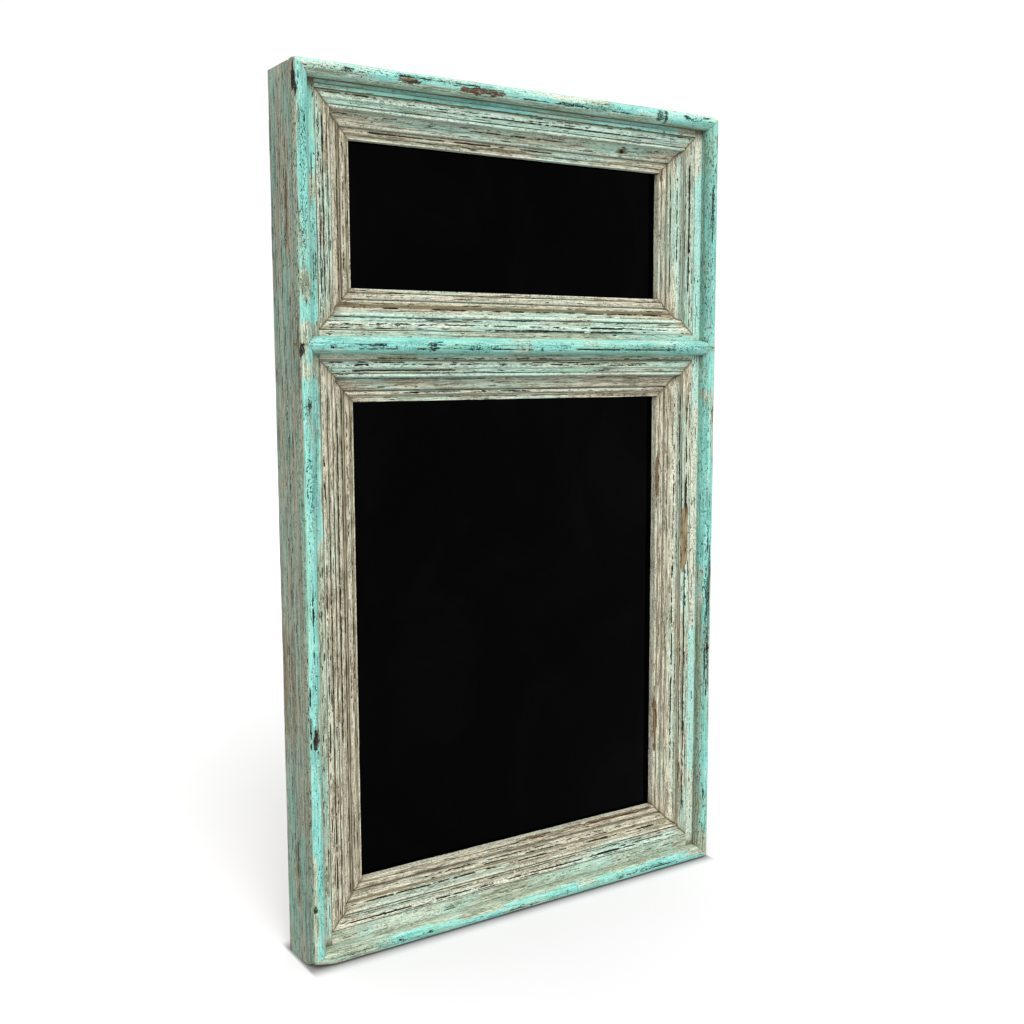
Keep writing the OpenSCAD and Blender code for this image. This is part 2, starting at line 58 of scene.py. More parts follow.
bl_info = {
    "name": "Wall mirror looks",
    "version": (1, 0, 0),
    "blender": (4, 5, 0),
    "location": "3D View > Sidebar > Wall mirror",
    "description": "Worn painted timber, mouldings, mirror plates and fittings on the packed frame",
    "category": "Object",
}

MM = 0.001
BODY = "frame"
EDGES = ("top", "bottom", "left", "right")


def low_high(node):
    """Lowest and highest corner of a node of the frame, as arrays."""
    low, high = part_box(node)
    return np.array(low), np.array(high)


# Planes and edges of the timber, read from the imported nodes
STILE_LOW, STILE_HIGH = low_high("stile_right")
FACE_Y, BACK_Y = STILE_LOW[1], STILE_HIGH[1]
INNER_X, HALF_W, TIMBER_TOP = STILE_LOW[0], STILE_HIGH[0], STILE_HIGH[2]
TIMBER_DEPTH = BACK_Y - FACE_Y
FRAME_TOP = low_high("bead_top_long")[1][2]
CROWN_Y = low_high("bead_left")[0][1]
BEAD_W = low_high("bead_bottom")[1][2]
BEAD_PROUD = FACE_Y - CROWN_Y
MID_LOW, MID_HIGH = (corner[2] for corner in low_high("bead_middle"))
MID_Z = (MID_LOW + MID_HIGH) / 2
TOP_JOINT_X = (low_high("bead_top_long")[1][0] + low_high("bead_top_short")[0][0]) / 2
MITRE_GAP = low_high("bead_top_short")[0][0] - low_high("bead_top_long")[1][0]
OUTER_RECT = (-HALF_W, HALF_W, 0.0, FRAME_TOP)
GLASS_Y = low_high("mirror_lower")[0][1]
MOULDING_FRONT_Y = low_high("moulding_lower_left")[0][1]


def moulding_rect(which):
    """Left, right, bottom and top edge of one moulding frame."""
    low, high = low_high(f"moulding_{which}_left")[0], low_high(f"moulding_{which}_right")[1]
    bottom, top = low_high(f"moulding_{which}_bottom")[0], low_high(f"moulding_{which}_top")[1]
    return low[0], high[0], bottom[2], top[2]


# Properties that a user may change


def size(label, words, value):
    """A length, given in millimetres and kept in metres."""
    return FloatProperty(name=label, description=words, default=value * MM, min=0.0, precision=5,
                         subtype="DISTANCE", unit="LENGTH")


def angle(label, words, degrees):
    """An angle, given in degrees and kept in radians."""
    return FloatProperty(name=label, description=words, default=math.radians(degrees),
                         subtype="ANGLE", unit="ROTATION")


def amount(label, words, value, least=0.0):
    """A plain number that doesn't fall below its least value."""
    return FloatProperty(name=label, description=words, default=value, min=least)


def colour(label, words, red, green, blue):
    """A colour, given as it looks on a screen and kept as linear light."""
    linear = [((v / 255 + 0.055) / 1.055) ** 2.4 if v > 10 else v / 255 / 12.92
              for v in (red, green, blue)]
    return FloatVectorProperty(name=label, description=words, default=linear, size=3,
                               subtype="COLOR", min=0.0, max=1.0)


class WallMirrorMoulding(bpy.types.PropertyGroup):
    """Sizes of the moulding's members, from its outer edge to the lip round the glass."""

    band_w: size("Band width", "Width of the outer crowned band", 9.4)
    band_r: size("Band radius", "Radius of the crown of the outer band", 24)
    band_crown: size("Band crown", "Distance of the crown from the outer edge", 1)
    flat_w: size("Flat width", "Width of the flat next to the band", 4.8)
    flat_drop: size("Flat drop", "How far the flat lies below the face", 1.9)
    reed_r: size("Reed radius", "Radius of the raised reed", 2.6)
    reed_drop: size("Reed drop", "How far the crest of the reed lies below the face", 1.2)
    cove_r: size("Cove radius", "Radius of the hollow cove", 9)
    step_w: size("Step width", "Width of the step between the cove and the ovolo", 3)
    step_h: size("Step height", "Height of the step above the glass", 14.2)
    ovolo_r: size("Ovolo radius", "Radius of the ovolo", 2.6)
    groove_w: size("Groove width", "Width of the deep groove inside the ovolo", 1.2)
    groove_h: size("Groove height", "Height of the groove's bottom above the glass", 7.5)
    astragal_w: size("Astragal width", "Width of the astragal next to the lip", 7.6)
    astragal_rise: size("Astragal rise", "Rise of the astragal above its edges", 2)
    astragal_sink: size("Astragal sink", "How far the astragal's edges lie below the lip", 0.3)
    lip_t: size("Lip thickness", "Thickness of the lip in front of the glass", 10.7)
    quirk_d: size("Quirk depth", "Depth of the fine cut lines between members", 0.7)


class WallMirrorWear(bpy.types.PropertyGroup):
    """How deep the years have cut into the timber, and how fine the surfaces are worked out."""

    ridge_depth: size("Ridge depth", "Depth of the raised grain between its ridges", 0.24)
    crack_depth: size("Crack depth", "Depth of the open cracks along the grain", 0.9)
    chip_depth: size("Chip depth", "Depth of the chips, down to the wood", 0.45)
    dent_depth: size("Dent depth", "Depth of the broad dents and hand planing", 0.25)
    corner_r: size("Corner radius", "Radius of the worn outer corners of the beads", 7)
    foot_lift: size("Foot lift", "How far the worn left foot rises at the face", 4.3)
    foot_reach: size("Foot reach", "How far behind the middle plane that wear begins", 10)
    foot_width: size("Foot width", "How far that wear runs in along the bottom", 34)
    step_along: size("Step along", "Spacing of the surface points along a piece", 1.9)
    step_across: size("Step across", "Spacing of the surface points across a piece", 0.62)
    hidden_step: size("Hidden step", "Spacing of the points across a hidden face", 4)


class WallMirrorPaint(bpy.types.PropertyGroup):
    """Colours of the old paint coats, of the wood under them and of the dirt on them, which also
    serves as painted shade.
    """

    turquoise: colour("Turquoise", "The bright coat on the beads", 106, 172, 163)
    turquoise_deep: colour("Deep turquoise", "The same coat where it is thin and dark",
                           84, 138, 127)
    aqua: colour("Aqua", "The same coat where the light has bleached it", 146, 190, 180)
    leaf: colour("Leaf", "The greener drifts in both upper coats", 126, 168, 146)
    cream: colour("Cream", "The cream coat on the mouldings", 157, 150, 130)
    cream_deep: colour("Deep cream", "The same coat where it is thin and dirty", 103, 98, 78)
    cream_pale: colour("Pale cream", "Cream and sage where the light has bleached them",
                       189, 184, 163)
    mint: colour("Mint", "The thin green coat over the cream", 139, 162, 149)
    mint_deep: colour("Deep mint", "The same coat where it is thin and dark", 93, 117, 102)
    mint_pale: colour("Pale mint", "The same coat where the light has bleached it", 168, 194, 181)
    sage: colour("Sage", "The grey green coat on the timbers and under the turquoise",
                 141, 153, 134)
    sage_deep: colour("Deep sage", "The same coat where it is thin and dark", 96, 104, 84)
    bleached: colour("Bleached", "Flakes of chalky old paint", 196, 198, 182)
    side_pale: colour("Side grey", "The grey green coat on the outer sides", 122, 136, 122)
    side_deep: colour("Side dark", "Dark olive streaks in that coat", 84, 86, 72)
    side_teal: colour("Side teal", "Teal streaks in that coat", 96, 136, 122)
    side_tan: colour("Side tan", "Tan streaks in that coat", 136, 124, 104)
    wood: colour("Wood", "Old red brown wood where the paint is gone", 88, 62, 48)
    ochre: colour("Ochre", "Fresh wood and old varnish", 126, 111, 83)
    crack: colour("Crack", "The dark inside of the cracks", 22, 20, 13)
    slate: colour("Slate", "Dark undercoat in the chips of the beads", 34, 46, 42)
    # This brown is dirt, and also painted shade in the mouldings' hollows, along the beads' feet
    # and under the bottom bead
    grime_and_shade: colour("Grime", "Brown dirt in hollows and corners", 84, 74, 48)


class WallMirrorStage(bpy.types.PropertyGroup):
    """Camera and light, set for the photograph's view."""

    camera_place: FloatVectorProperty(
        name="Camera place", description="Place of the camera", default=(-0.8368, -1.2810, 0.6964),
        size=3, subtype="TRANSLATION", unit="LENGTH")
    heading: angle("Heading", "Turn of the view to the right of the wall's normal", 33.03)
    tilt: angle("Tilt", "Slope of the view below the horizon", 6.785)
    roll: angle("Roll", "Turn of the camera about its view", -0.18)
    lens: amount("Lens", "Focal length in millimetres on a 36 mm wide sensor", 42.59, 1.0)
    sky: amount("Sky", "Strength of the even white light all round", 1.03)
    key: amount("Key", "Strength of the soft light from above and in front", 4.4)
    key_height: angle("Key height", "Height of that light above the horizon", 42)
    key_turn: angle("Key turn", "Turn of that light to the right of the wall's normal", -24)
    key_spread: angle("Key spread", "Width of that light in the sky", 50)


# Random fields


def fade(value, start, end):
    """A smooth step: 0 below start, 1 above end, with a cubic rise between them."""
    t = np.clip((value - start) / (end - start), 0.0, 1.0)
    return t * t * (3 - 2 * t)


def bell(value, centre, width):
    """A bell curve: 1 at the centre, falling by its square distance over the width."""
    return np.exp(-((value - centre) / width) ** 2)


LATTICE = 256  # numbers along each side of a field's lattice
FIELD_START = (17.3, 5.1)  # cells from the lattice's corner to a piece's start, along and across


def field(x, y, seed):
    """A smooth random field from 0 to 1. x and y count cells of a seeded lattice of random
    numbers, and each place blends the four numbers round it by cubic fades."""
    lattice = np.random.default_rng(seed).random((LATTICE, LATTICE))
    column, row = np.floor(x).astype(int), np.floor(y).astype(int)
    right, up = x - column, y - row
    right, up = right * right * (3 - 2 * right), up * up * (3 - 2 * up)
    here, after = column % LATTICE, (column + 1) % LATTICE
    low, high = row % LATTICE, (row + 1) % LATTICE
    bottom = lattice[here, low] * (1 - right) + lattice[after, low] * right
    top = lattice[here, high] * (1 - right) + lattice[after, high] * right
    return bottom * (1 - up) + top * up


def grain(along, across, length, width, seed, octaves=2):
    """Random streaks of the given mean length and width in metres: a sum of fields, each
    twice as fine and half as strong as the last, brought back to 0 to 1."""
    total, weight = 0.0, 0.0
    for octave in range(octaves):
        share = 0.5 ** octave
        total = total + share * field(along / length * 2 ** octave + FIELD_START[0],
                                      across / width * 2 ** octave + FIELD_START[1],
                                      seed + octave)
        weight += share
    return total / weight


def strokes(along, across, place, span, width, fill, seed):
    """A broken dark line along the grain. Its middle wanders about its place across, its half
    width follows random fields along it and falls to nothing in the gaps, and a fine field
    frays its edges. fill is the share of the span, from start to end, that it covers."""
    wander, swell, ripple, fray = 0.06, 0.016, 0.005, 0.003  # metres along to a cell of each
    middle = place + 0.5 * MM * (2 * field(along / wander, across * 0 + 0.5, seed) - 1)
    full = 0.6 * field(along / swell, across * 0 + 1.5, seed + 1)
    full = full + 0.4 * field(along / ripple, across * 0 + 2.5, seed + 2)
    ends = np.minimum(along - span[0], span[1] - along)
    half = width * fade(full, 0.92 - fill, 1.12 - fill) * fade(ends, 0.0, 0.015)
    frayed = 0.5 * MM * (field(along / fray, across / 0.0008, seed + 3) - 0.5)
    return fade(half - np.abs(across - middle) + frayed, -0.15 * MM, 0.15 * MM) * (half > 0.1 * MM)


def mark(along, across, seed, place, reach):
    """A ragged patch: 1 inside an ellipse at the place (along, across) with the given half
    sizes, falling to 0 over an edge that a random field breaks up."""
    distance = np.hypot((along - place[0]) / reach[0], (across - place[1]) / reach[1])
    ragged = grain(along, across, 0.010, 0.0022, seed, 3) - 0.5
    return fade(1.0 - distance + 1.6 * ragged, 0.0, 0.25)


def area(along, across, seed, span, lane):
    """A patch of a coat: 1 between the ends of the span and of the lane across, falling to 0
    over edges that two random fields push about."""
    length = along + 24 * MM * (grain(along, across, 0.03, 0.006, seed, 3) - 0.5)
    width = across + 5 * MM * (grain(along, across, 0.030, 0.006, seed + 9, 3) - 0.5)
    soft_ends, soft_sides = (-0.008, 0.012), (-1.0 * MM, 1.4 * MM)
    ends = fade(length - span[0], *soft_ends) * fade(span[1] - length, *soft_ends)
    return ends * fade(width - lane[0], *soft_sides) * fade(lane[1] - width, *soft_sides)


# Outlines of the profiles


def straight(start, end, step):
    """Points from start to end in even steps no longer than the given one."""
    start, end = np.array(start, float), np.array(end, float)
    count = max(2, int(np.ceil(np.hypot(*(end - start)) / step)) + 1)
    return start + np.linspace(0, 1, count)[:, None] * (end - start)


def arc(centre, radius, first, last, step):
    """Points on a circle: centre plus radius times the cosine and sine of angles in degrees,
    from first to last, in steps no longer than the given one."""
    first, last = math.radians(first), math.radians(last)
    count = max(3, int(np.ceil(abs(last - first) * radius / step)) + 1)
    angle = np.linspace(first, last, count)
    return np.array(centre) + radius * np.stack([np.cos(angle), np.sin(angle)], 1)


class Outline:
    """A closed outline in u (inward) and h (forward), run from the outer back corner over the
    face: its points, the distance round to each point, and the normals that point out."""

    def __init__(self, *stretches, ease=1):
        points = np.concatenate(stretches)
        step = np.hypot(*(points - np.roll(points, 1, axis=0)).T)
        points = points[step > 1e-6]
        for _ in range(ease):
            points = (np.roll(points, 1, axis=0) + 2 * points + np.roll(points, -1, axis=0)) / 4
        ahead = np.roll(points, -1, axis=0) - np.roll(points, 1, axis=0)
        ahead /= np.hypot(*ahead.T)[:, None]
        gaps = np.hypot(*(np.roll(points, -1, axis=0) - points).T)
        self.u, self.h = points.T
        self.out_u, self.out_h = -ahead[:, 1], ahead[:, 0]
        self.c = np.concatenate([[0.0], np.cumsum(gaps)[:-1]])

    def round_to(self, place):
        """Distance round to the point of the face that lies that far in, in millimetres."""
        face = slice(0, int(np.argmax(self.u >= self.u.max() - 0.2 * MM)))
        return np.interp(place * MM, self.u[face], self.c[face]) / MM

    def sunk(self, share):
        """The outline with the given share, 0 or 1, of each ring and point pressed to its
        back, as the side bead is at its notch."""
        pressed = copy.copy(self)
        pressed.h = self.h * (1 - share) + np.minimum(self.h, 0.3 * MM) * share
        return pressed


def bead_outline(wear):
    """A half round on a short straight wall, as wide as the bead."""
    radius, fine = BEAD_W / 2, wear.step_across
    wall = BEAD_PROUD - radius
    return Outline(
        straight((0, 0), (0, wall), fine),
        arc((radius, wall), radius, 180, 0, fine),
        straight((BEAD_W, wall), (BEAD_W, 0), fine),
        straight((BEAD_W, 0), (0, 0), wear.hidden_step))


def moulding_outline(sizes, wear):
    """The moulding's members in turn: crowned band, flat, reed, cove, step, ovolo, groove,
    astragal and lip, with a V cut on each side of the flat and before the lip."""
    fine, rough = wear.step_across * 0.85, wear.hidden_step
    face = GLASS_Y - MOULDING_FRONT_Y
    fine_from, fine_to = face - 3 * MM, face - 0.1 * MM  # the outer side that shows in the gap
    flat_x, flat_h = sizes.band_w, face - sizes.flat_drop
    reed_x = flat_x + sizes.flat_w
    reed_h = face - sizes.reed_drop - sizes.reed_r
    cove_x = reed_x + 2 * sizes.reed_r
    step_x = cove_x + sizes.cove_r
    ovolo_x = step_x + sizes.step_w
    groove_x = ovolo_x + sizes.ovolo_r
    astragal_x = groove_x + sizes.groove_w
    lip_x = astragal_x + sizes.astragal_w
    width = low_high("moulding_lower_bottom")[1][2] - low_high("moulding_lower_bottom")[0][2]
    ovolo_h = sizes.step_h - sizes.ovolo_r
    bead_h = sizes.lip_t - sizes.astragal_sink
    half = sizes.astragal_w / 2
    crest_r = (half ** 2 + sizes.astragal_rise ** 2) / (2 * sizes.astragal_rise)
    crest_angle = math.degrees(math.asin(half / crest_r))
    crown_h = face - sizes.band_r
    edge_angle = math.degrees(math.acos(-sizes.band_crown / sizes.band_r))
    cut = sizes.quirk_d
    end_angle = math.degrees(math.acos((flat_x - 0.6 * cut - sizes.band_crown) / sizes.band_r))
    return Outline(
        straight((0, 0), (0, fine_from), rough),
        straight((0, fine_from), (0, fine_to), fine),
        arc((sizes.band_crown, crown_h), sizes.band_r, edge_angle, end_angle, fine),
        straight((flat_x, flat_h - cut), (flat_x + cut / 2, flat_h), fine),
        straight((flat_x + cut / 2, flat_h), (reed_x, flat_h), fine),
        straight((reed_x, flat_h), (reed_x + 0.05 * MM, reed_h + 0.4 * MM), fine),
        arc((reed_x + sizes.reed_r, reed_h), sizes.reed_r, 172, 0, fine),
        arc((step_x, sizes.step_h + sizes.cove_r), sizes.cove_r, 180, 270, fine),
        straight((step_x, sizes.step_h), (ovolo_x, sizes.step_h), fine),
        arc((ovolo_x, ovolo_h), sizes.ovolo_r, 90, 0, fine),
        straight((groove_x, ovolo_h), (groove_x, sizes.groove_h), fine / 2),
        straight((groove_x, sizes.groove_h), (astragal_x, sizes.groove_h), fine / 2),
        arc((astragal_x + half, bead_h + sizes.astragal_rise - crest_r), crest_r,
            90 + crest_angle, 90 - crest_angle, fine),
        straight((lip_x, sizes.lip_t - 1.4 * cut), (lip_x + cut / 2, sizes.lip_t), fine),
        straight((lip_x + cut / 2, sizes.lip_t), (width, sizes.lip_t), fine),
        straight((width, sizes.lip_t), (width, 0), fine * 1.5),
        straight((width, 0), (0, 0), rough))


# Surfaces


def on_edge(edge, rect, back, along, u, h):
    """Points on one edge of a rectangle: along is X or Z itself, u runs inward from the edge
    and h forward from the plane at back."""
    left, right, bottom, top = rect
    across = {"left": left + u, "right": right - u, "bottom": bottom + u, "top": top - u}[edge]
    level = edge in ("top", "bottom")
    return np.stack([along if level else across, back - h, across if level else along], -1)


def round_corners(points, wear):
    """Rounds the outer corners of the frame: near a corner, the square of side radius is
    pressed into a quarter disc, by the ratio of the larger offset to the diagonal."""
    left, right, bottom, top = OUTER_RECT
    radius = wear.corner_r
    middle = np.array([(left + right) / 2, (bottom + top) / 2])
    half = np.array([(right - left) / 2, (top - bottom) / 2])
    place = points[..., [0, 2]] - middle
    over = np.abs(place) - (half - radius)
    inside = (over > 0).all(-1)
    larger = over.max(-1)
    diagonal = np.maximum(np.hypot(over[..., 0], over[..., 1]), 1e-9)
    pressed = (half - radius) + over * (larger / diagonal)[..., None]
    moved = points.copy()
    moved[..., [0, 2]] = np.where(inside[..., None], np.sign(place) * pressed + middle,
                                  points[..., [0, 2]])
    return moved


FOOT_HEIGHT = 0.03  # height at which the wear of the foot ends


def wear_foot(points, wear):
    """Rounds the foot at the left front corner: points are raised by the foot's wear times the
    share of the way from its back limit to the face, to the power 1.5, which fades inward and
    over the points above it."""
    x, y, z = np.moveaxis(points, -1, 0)
    forward = np.clip((wear.foot_reach - y) / (wear.foot_reach - FACE_Y), 0.0, 1.15) ** 1.5
    share = (fade(-x, HALF_W - wear.foot_width, HALF_W)
             * fade(FOOT_HEIGHT - z, 0.0, FOOT_HEIGHT))
    moved = points.copy()
    moved[..., 2] += wear.foot_lift * forward * share
    return moved


def rows_between(start, end, step):
    """Rows of places along a piece, from each outline point's own start to its own end."""
    count = int(np.ceil((end - start).max() / step)) + 1
    return start + np.linspace(0, 1, count)[:, None] * (end - start)


SHARP_ANGLE = math.radians(62)  # faces that meet more steeply keep a sharp edge


def skin(name, points, flip, layers, material):
    """A closed mesh over a grid of points whose rows are rings of the profile: four-sided
    faces between the rings and one face over each end ring."""
    rows, columns = points.shape[:2]
    index = np.arange(rows * columns).reshape(rows, columns)
    beside = np.roll(index, -1, axis=1)
    sides = np.stack([index[:-1], index[1:], beside[1:], beside[:-1]], -1).reshape(-1, 4)
    ends = [index[0], index[-1][::-1]]
    if flip:
        sides = sides[:, ::-1]
        ends = [end[::-1] for end in ends]
    corners = np.concatenate([sides.ravel(), *ends])
    starts = np.concatenate([np.arange(len(sides)) * 4,
                             len(sides) * 4 + np.array([0, columns])])
    mesh = bpy.data.meshes.new("worn_" + name)
    mesh.vertices.add(rows * columns)
    mesh.vertices.foreach_set("co", points.astype(np.float32).ravel())
    mesh.loops.add(len(corners))
    mesh.loops.foreach_set("vertex_index", corners.astype(np.int32))
    mesh.polygons.add(len(starts))
    mesh.polygons.foreach_set("loop_start", starts.astype(np.int32))
    mesh.polygons.foreach_set("use_smooth", np.ones(len(starts), bool))
    mesh.update(calc_edges=True)
    mesh.validate()
    for layer, values in layers.items():
        vector = values.ndim == 3
        made = mesh.attributes.new(layer, "FLOAT_VECTOR" if vector else "FLOAT", "POINT")
        made.data.foreach_set("vector" if vector else "value", values.astype(np.float32).ravel())
    mesh.set_sharp_from_angle(angle=SHARP_ANGLE)
    mesh.materials.append(material)
    piece = bpy.data.objects.new("worn_" + name, mesh)
    bpy.context.scene.collection.objects.link(piece)
    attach(piece, BODY)
    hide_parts(name)


class Surface:
    """Masks and depths of one painted piece. The masks are point values from 0 to 1: coat
    (side paint to front paint), tint (first to second front coat), pale (chalky flakes, and
    painted highlights on the mouldings' crests and the right stile's face), fleck (small dark
    chips, and dense chips as painted shade on the right bead's inner flank), grime (dirt,
    and painted shade in hollows, along the beads' feet and under the bottom bead), bare
    (paint gone) and crack."""

    NAMES = ("coat", "tint", "pale", "fleck", "grime_and_shade", "bare", "crack")
    # Where the seeds of each kind of random field begin, and their steps from one to the next
    RIDGE_SEED, DENT_SEED, MARK_SEED = 11, 12, 7
    STROKE_SEED, STROKE_STEP, AREA_SEED, AREA_STEP = 60, 5, 130, 11
    SEED_SHIFT = 0.731  # moves the noise of each piece apart from its neighbours'

    def __init__(self, along, outline, seed):
        self.along = along
        self.across, self.u, self.h = (np.broadcast_to(values, along.shape)
                                       for values in (outline.c, outline.u, outline.h))
        self.seed = seed
        for layer in self.NAMES:
            setattr(self, layer, np.zeros_like(along))

    def raise_to(self, layer, values):
        """Raises a mask to the given values where they are higher."""
        setattr(self, layer, np.maximum(getattr(self, layer), values))

    def add_marks(self, layer, *marks, strength=1.0):
        """Adds ragged patches, each given by its place and half sizes, along and across."""
        for number, (place_along, place_across, half_along, half_across) in enumerate(marks):
            self.raise_to(layer, strength * mark(
                self.along, self.across, self.seed + self.MARK_SEED + number,
                (place_along, place_across * MM), (half_along, half_across * MM)))

    def set_areas(self, layer, *areas):
        """Brings a mask to a value over patches, each given by its start and end along, its
        start and end across in millimetres, and the value."""
        for number, (start, end, low, high, value) in enumerate(areas):
            share = area(self.along, self.across,
                         self.seed + self.AREA_SEED + self.AREA_STEP * number,
                         (start, end), (low * MM, high * MM))
            kept = getattr(self, layer)
            setattr(self, layer, kept + (value - kept) * share)

    def add_strokes(self, *lines):
        """Adds broken cracks, each given by its place across in millimetres, its start and end
        along, its half width in millimetres and the share that it covers."""
        for number, (place, start, end, width, fill) in enumerate(lines):
            self.raise_to("crack", strokes(
                self.along, self.across, place * MM, (start, end), width * MM, fill,
                self.seed + self.STROKE_SEED + self.STROKE_STEP * number))

    def lower(self, wear):
        """Depth of the worn surface: grain ridges and broad dents everywhere, deeper where
        the paint is chipped off and deepest in the cracks."""
        ridges = grain(self.along, self.across, 0.07, 0.0015, self.seed + self.RIDGE_SEED, 2)
        dents = grain(self.along, self.across, 0.04, 0.009, self.seed + self.DENT_SEED, 3)
        return (wear.ridge_depth * fade(ridges, 0.25, 0.75)
                + wear.dent_depth * fade(dents, 0.40, 0.85)
                + wear.chip_depth * self.bare + wear.crack_depth * self.crack)

    def layers(self):
        """The masks by name, with the grain coordinate that the materials follow."""
        shift = np.full_like(self.along, self.seed * self.SEED_SHIFT)
        layers = {name: np.clip(getattr(self, name), 0, 1) for name in self.NAMES}
        layers["grain"] = np.stack([self.along, self.across, shift], -1)
        return layers


def build_worn(name, material, masks, outline, site, wear, seat=1.0, shapers=()):
    """One worn piece: the outline, pressed in along its normals by the depth of its wear
    times seat, carried along its site (an edge, its rectangle and the plane at its back), and
    then changed by the shapers."""
    edge, rect, back = site
    depth = masks.lower(wear)
    u = outline.u - outline.out_u * depth * seat
    h = np.maximum(outline.h - outline.out_h * depth * seat, 0.0)
    points = on_edge(edge, rect, back, masks.along, u, h)
    for shaper in shapers:
        points = shaper(points, wear)
    skin(name, points, edge in ("top", "left"), masks.layers(), material)


# Materials


class Wire:
    """One value in a material. Arithmetic on wires adds the Math nodes for it."""

    def __init__(self, recipe, socket):
        self.recipe = recipe
        self.socket = socket

    def math(self, operation, *values):
        """One Math node on one or two values, each a wire or a number."""
        return self.recipe.node("ShaderNodeMath", {"operation": operation}, dict(enumerate(values)))

    def __add__(self, other):
        return self.math("ADD", self, other)

    def __radd__(self, other):
        return self.math("ADD", other, self)

    def __sub__(self, other):
        return self.math("SUBTRACT", self, other)

    def __rsub__(self, other):
        return self.math("SUBTRACT", other, self)

    def __mul__(self, other):
        return self.math("MULTIPLY", self, other)

    def __rmul__(self, other):
        return self.math("MULTIPLY", other, self)

    def beyond(self, reach):
        """How far the value lies beyond a reach on either side of 0, and 0 inside it."""
        return self.math("MAXIMUM", self.math("ABSOLUTE", self) - reach, 0.0)

    def root(self):
        """The square root."""
        return self.math("SQRT", self)


class Recipe:
    """A material with one Principled shader, and short ways to add the nodes that feed it."""

    def __init__(self, name):
        self.material = bpy.data.materials.new(name)
        self.material.use_nodes = True
        self.tree = self.material.node_tree
        self.tree.nodes.clear()
        output = self.tree.nodes.new("ShaderNodeOutputMaterial")
        self.shader = self.tree.nodes.new("ShaderNodeBsdfPrincipled")
        self.tree.links.new(self.shader.outputs[0], output.inputs[0])

    def plug(self, socket, value):
        """Links a wire to a socket, or sets the socket to a plain value."""
        if isinstance(value, Wire):
            self.tree.links.new(value.socket, socket)
        else:
            socket.default_value = value

    def node(self, kind, settings=None, inputs=None, output=0):
        """Adds a node: its settings first, then its sockets by name or number."""
        made = self.tree.nodes.new(kind)
        for key, value in (settings or {}).items():
            setattr(made, key, value)
        for key, value in (inputs or {}).items():
            self.plug(made.inputs[key], value)
        return Wire(self, made.outputs[output])

    def mask(self, name):
        """A point value of the piece."""
        return self.node("ShaderNodeAttribute", {"attribute_name": name}, output="Fac")

    def grain_place(self):
        """The piece's own grain coordinate: along it, across it and a shift of its own."""
        return self.node("ShaderNodeAttribute", {"attribute_name": "grain"}, output="Vector")

    def object_place(self):
        """The place in the frame, in metres."""
        return self.node("ShaderNodeTexCoord", output="Object")

    def noise(self, place, scale, detail=2.0, roughness=0.55, distortion=0.0):
        """Random values round a half, with scale cells to each unit of the place: one number,
        or three for its three axes."""
        scale = scale if isinstance(scale, tuple) else (scale,) * 3
        cells = self.node("ShaderNodeVectorMath", {"operation": "MULTIPLY"}, {0: place, 1: scale})
        return self.node("ShaderNodeTexNoise", {"noise_dimensions": "3D"},
                         {"Vector": cells, "Scale": 1.0, "Detail": detail,
                          "Roughness": roughness, "Distortion": distortion})

    def between(self, value, start, end, low=0.0, high=1.0):
        """Maps a value from the range start to end onto low to high, smoothly and clamped."""
        return self.node("ShaderNodeMapRange", {"interpolation_type": "SMOOTHSTEP"},
                         {0: value, 1: start, 2: end, 3: low, 4: high})

    def blend(self, share, first, second, mode="MIX"):
        """Mixes two colours by a share."""
        return self.node("ShaderNodeMix", {"data_type": "RGBA", "blend_type": mode},
                         {0: share, 6: rgba(first), 7: rgba(second)}, output=2)

    def bump(self, height, distance, strength=1.0):
        """A normal bent by a height that counts in distances."""
        return self.node("ShaderNodeBump", inputs={"Height": height, "Distance": distance,
                                                   "Strength": strength})

    def finish(self, **sockets):
        """Feeds the shader's sockets, with spaces for underscores, and returns the material."""
        for key, value in sockets.items():
            self.plug(self.shader.inputs[key.replace("_", " ")], value)
        return self.material


def rgba(colour):
    """A colour with full alpha, or the wire that it comes by."""
    return colour if isinstance(colour, Wire) else (*colour[:3], 1.0)


# Noise patterns of the old paint: cells to the metre along and across the grain, detail and
# roughness of the noise, and its distortion where it has one
PAINT_NOISE = {
    "streak": (13.0, 520.0, 3.0, 0.62),
    "hair": (45.0, 1250.0, 2.0, 0.6),
    "thread": (5.0, 900.0, 3.0, 0.6),
    "fleck": (190.0, 560.0, 3.0, 0.68),
    "speck": (520.0, 1050.0, 2.0, 0.7),
    "cloud": (20.0, 75.0, 4.0, 0.65, 0.4),
    "drift": (9.0, 45.0, 4.0, 0.6, 0.6),
}


def green_coats(paint):
    """Sage under turquoise, each coat as a thin dark, a full and a bleached colour."""
    return ((paint.sage_deep, paint.sage, paint.cream_pale),
            (paint.turquoise_deep, paint.turquoise, paint.aqua))


